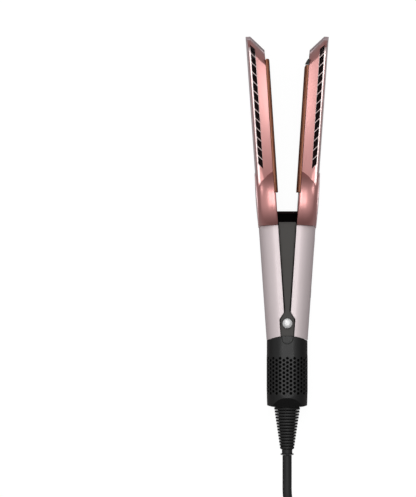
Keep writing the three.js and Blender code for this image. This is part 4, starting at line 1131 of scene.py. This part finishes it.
# The mains lead: its route out of the iron, its hank and its tail
CORD_EXIT = (0, RELIEF_END_Y - GAP, AXIS_Z)
RUN_ROUTE = [
    CORD_EXIT, *[(0, y, AXIS_Z) for y in (-127, -136, -144, -150)],
    (0.5, -157, 23.2), (2.2, -164, 22.2), (5.2, -171, 20.4), (9.8, -178, 18), (14.5, -183, 15.7),
    (20.3, -187.5, 13.4), (26.1, -192, 11.3), (30.8, -197, 9.5), (35.4, -204, 7.6), (38.4, -211, 6.4),
    (40, -218, 5.9), *[(40.6, y, HANK_BASE_Z) for y in (-225, -232, -238.6)],
]
TAIL_ROUTE = [
    (31.3, -308.2, 32.2), (33.1, -313.6, 32.7), (34.6, -319, 34.1), (35.5, -324.7, 36.2),
    (35.8, -330.5, 38.6), (35.5, -336.2, 41), (34.7, -342, 43.1), (34.3, -347.7, 44.5),
    (34.1, -353.5, 45), (34, -356, 45),
]
LOOPS_PER_LAYER = HANK_LOOPS / HANK_LAYERS
HANK_OUTER_RADIUS = HANK_INNER_RADIUS + LOOPS_PER_LAYER * HANK_STEP
FOLD_SHARE = 0.5 * pi * HANK_MEAN_RADIUS / (pi * HANK_MEAN_RADIUS + HANK_RUN)
RUN_SHARE = 0.5 - FOLD_SHARE


def hank_radius(phase):
    """The loops spiral in and out again, a layer each way."""
    if phase < 0:
        return HANK_OUTER_RADIUS - HANK_STEP * phase
    if phase > HANK_LOOPS:
        return HANK_OUTER_RADIUS + HANK_STEP * (phase - HANK_LOOPS)
    part = phase % (2 * LOOPS_PER_LAYER)
    return HANK_OUTER_RADIUS - HANK_STEP * min(part, 2 * LOOPS_PER_LAYER - part)


def hank_height(phase):
    layer = 0
    for k in range(1, HANK_LAYERS):
        share = min(max((phase - k * LOOPS_PER_LAYER) / HANK_CLIMB + 0.5, 0), 1)
        layer += share * share * (3 - 2 * share)
    return HANK_BASE_Z + layer * HANK_LAYER_HEIGHT


def hank_point(phase):
    """A point of the hank, its phase counting loops from the middle of the right-hand run."""
    radius = hank_radius(phase)
    turn = phase % 1

    def waist(y):
        return HANK_WAIST * 0.5 * (1 + cos(2 * pi * y / HANK_RUN))

    if turn < RUN_SHARE / 2 or turn >= 1 - RUN_SHARE / 2:
        y = -(turn - 1 if turn > 0.5 else turn) / RUN_SHARE * HANK_RUN
        x = radius - waist(y)
    elif 0.5 - RUN_SHARE / 2 <= turn < 0.5 + RUN_SHARE / 2:
        y = (turn - 0.5) / RUN_SHARE * HANK_RUN
        x = waist(y) - radius
    else:
        way = 1 if turn < 0.5 else -1
        start = RUN_SHARE / 2 if way > 0 else 0.5 + RUN_SHARE / 2
        angle = -pi * (turn - start) / FOLD_SHARE
        x = way * radius * cos(angle)
        y = way * (-HANK_RUN / 2 + radius * sin(angle))
    return Vector((x, HANK_CENTRE_Y + y, hank_height(phase)))


def cord_line():
    start = -RUN_SHARE / 2
    end = HANK_LOOPS + HANK_END_PAST
    steps = 400
    hank = [hank_point(start + (end - start) * i / steps) for i in range(steps + 1)]
    return [*through(RUN_ROUTE, 4), *hank, *through(TAIL_ROUTE, 4)]


def mains_lead():
    line = cord_line()
    data = bpy.data.curves.new("mains_lead", "CURVE")
    data.dimensions = "3D"
    spline = data.splines.new("POLY")
    spline.points.add(len(line) - 1)
    for point, place in zip(spline.points, line):
        point.co = (*(place * MM), 1)
    data.bevel_depth = CORD_RADIUS * MM
    data.bevel_resolution = 8
    data.use_fill_caps = True
    data.materials.append(FINISHES["rubber"].material)
    lead = placed("mains_lead", data)
    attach(lead, "base")
    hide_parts("cord_run", "cord_hank", "cord_tail")
    length = sum((b - a).length for a, b in zip(line, line[1:]))
    return lead, length * MM


def cord_tie():
    """The strap round the hank's waist, its end lapped over and stuck down on top."""
    half = HANK_OUTER_RADIUS - HANK_WAIST + CORD_RADIUS + 2.2
    top = HANK_BASE_Z + (HANK_LAYERS - 1) * HANK_LAYER_HEIGHT + CORD_RADIUS + 0.6
    bottom = HANK_BASE_Z - CORD_RADIUS - 0.4
    outer, inner = [rounded_rectangle(0, (top + bottom) / 2, half + grow, (top - bottom) / 2 + grow,
                                      TIE_CORNER + grow, 10) for grow in (TIE_THICKNESS, 0)]
    low, high = HANK_CENTRE_Y - TIE_WIDTH / 2, HANK_CENTRE_Y + TIE_WIDTH / 2
    rings = [[(x, y, z) for x, z in outline]
             for y, outline in ((low, inner), (low, outer), (high, outer), (high, inner))]
    lap_z = top + TIE_THICKNESS
    lap = stacked(2, [
        (lap_z + rise, rounded_rectangle(-4, HANK_CENTRE_Y, 16 - inset, TIE_WIDTH / 2 - 0.6 - inset, 3, 8))
        for inset, rise in ((0, -0.3), (0, 0.6), (0.3, 0.9))])
    return together(loft(rings, closed=True), lap)


def plug():
    """A moulded two-pole plug: narrow neck, waisted grip with grooves, flat face."""
    stations = [(0, 5, 5), (3, 5.1, 5.1), (9, 5.6, 5.5), (13, 8.4, 7), (16.5, 11.2, 7.9), (19, 12, 8),
                (24, 11.7, 7.8), (28, 12, 8), (32.2, 12, 8), (PLUG_LENGTH, 11.6, 7.6)]
    sections = [(PLUG_TOP_Y - along, rounded_rectangle(PLUG_X, PLUG_Z, half_width, half_height,
                                                       min(half_width, half_height) * 0.7, 8))
                for along, half_width, half_height in stations]
    grooves = [block(x, x + 2.7, y - 0.9, y, PLUG_Z - 9, PLUG_Z + 9)
               for x in (PLUG_X - 14, PLUG_X + 11.3)
               for y in (PLUG_TOP_Y - along for along in (20, 22.6, 25.2, 27.8))]
    return cut(stacked(1, sections), *grooves)


def lay_lead():
    lead, length = mains_lead()
    tie = piece("hank_strap", cord_tie(), STRAP, "base", ["cord_tie"])
    body = skin("plug_body", plug(), "rubber", "base", "plug")


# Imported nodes: each gets its finish, also those that a piece replaces
def finish_packed_nodes():
    for entry in frame["record"]["subparts"]:
        materials = frame["nodes"][entry["node"]].data.materials
        materials.clear()
        materials.append(FINISHES[entry["material_slot"]].material)


# Floor, lamps and world
def floor():
    """Pale paper, nearly white to the camera and darker in what the lacquer reflects."""
    finish = Finish("floor_paper", (240, 240, 240), 0.9, specular=0.1)
    seen = finish.node("ShaderNodeLightPath", output="Is Camera Ray")
    fibres = finish.noise(300, 3)
    grey = finish.mix(fibres, (152, 148, 148), (160, 156, 156))
    finish.color(seen, grey, (226, 226, 226))
    finish.set("Roughness", fibres * 0.1 + 0.85)
    glow = finish.node("ShaderNodeEmission", None, Color=(1, 1, 1, 1), Strength=1.08)
    paper = Value(finish, finish.shader.outputs[0])
    lit = finish.node("ShaderNodeMixShader", None, seen * 0.88, paper, glow)
    finish.feed(finish.tree.nodes["Material Output"].inputs["Surface"], lit)
    mesh = block(-FLOOR_REACH, FLOOR_REACH, -FLOOR_REACH, FLOOR_REACH, FLOOR_BASE_Z, FLOOR_TOP_Z)
    mesh.transform(Matrix.Scale(MM, 4))
    mesh.materials.append(finish.material)
    placed("floor", mesh)


def lamp(name, place, size, power, aim=(0, 0.06, 0)):
    data = bpy.data.lights.new(name, "AREA")
    data.shape = "RECTANGLE"
    data.size, data.size_y = size
    data.energy = power
    made = placed(name, data)
    made.location = place
    made.rotation_euler = (Vector(aim) - Vector(place)).to_track_quat("-Z", "Y").to_euler()
    made.visible_camera = False


def sky():
    """A bright band overhead, across the iron; darker towards its tip and its lead and near the
    horizon; plain white where the camera sees it."""
    world = bpy.data.worlds.new("studio")
    bpy.context.scene.world = world
    world.use_nodes = True
    nodes = Nodes(world.node_tree)
    toward = nodes.node("ShaderNodeTexCoord", output="Generated")
    height = nodes.node("ShaderNodeVectorMath", {"operation": "DOT_PRODUCT"}, toward, OVERHEAD,
                        output="Value")
    stops = [(place, (tone, tone, tone, 1)) for place, tone in SKY_TONES]
    glow = nodes.node("ShaderNodeValToRGB", {"stops": stops}, height)
    lengthways = nodes.node("ShaderNodeSeparateXYZ", None, toward, output="Y").without_sign()
    band = nodes.node("ShaderNodeMapRange", None, Value=lengthways, **SKY_BAND)
    dimmed = nodes.node("ShaderNodeVectorMath", {"operation": "SCALE"}, glow, Scale=band)
    seen = nodes.node("ShaderNodeLightPath", output="Is Camera Ray")
    color = nodes.mix(seen, dimmed, (255, 255, 255))
    nodes.feed(nodes.tree.nodes["Background"].inputs["Color"], color)


photo_camera()
bpy.context.scene.view_settings.view_transform = "Standard"
lay_lead()
finish_packed_nodes()
dress_arm(1)
dress_arm(-1)
dress_controls()
skin("spine_cover_plate", spine_cover(), "spine_grey", "base", "spine_cover")
skin("hinge_pin_turned", hinge_pin(), "bright_steel", "base", "hinge_pin")
skin("pin_washer_ring", pin_washer(), "black_plastic", "base", "pin_washer")
skin("lock_tongue", lock_slider(), "cage_black", "arm_lock", "lock_slider")
skin("cage_moulding", filter_cage(), "cage_black", "cage", "filter_cage")
skin("relief_fins", strain_relief(), "rubber", "base", "strain_relief")
# Painted shade behind the cage's holes
piece("cage_hole_shade_sheet", hole_shade_sheet(), HOLE_SHADE, "cage")
dress_motor()
floor()
lamp("overhead", (-0.02, 0.34, 1.6), (0.5, 1.45), 8.8)
lamp("left_side", (-0.2, 0.228, 0.143), (0.06, 0.06), 0.038, aim=(0.02, 0.23, 0.05))
lamp("right_side", (0.2, 0.228, 0.143), (0.06, 0.06), 0.056, aim=(-0.02, 0.23, 0.05))
sky()
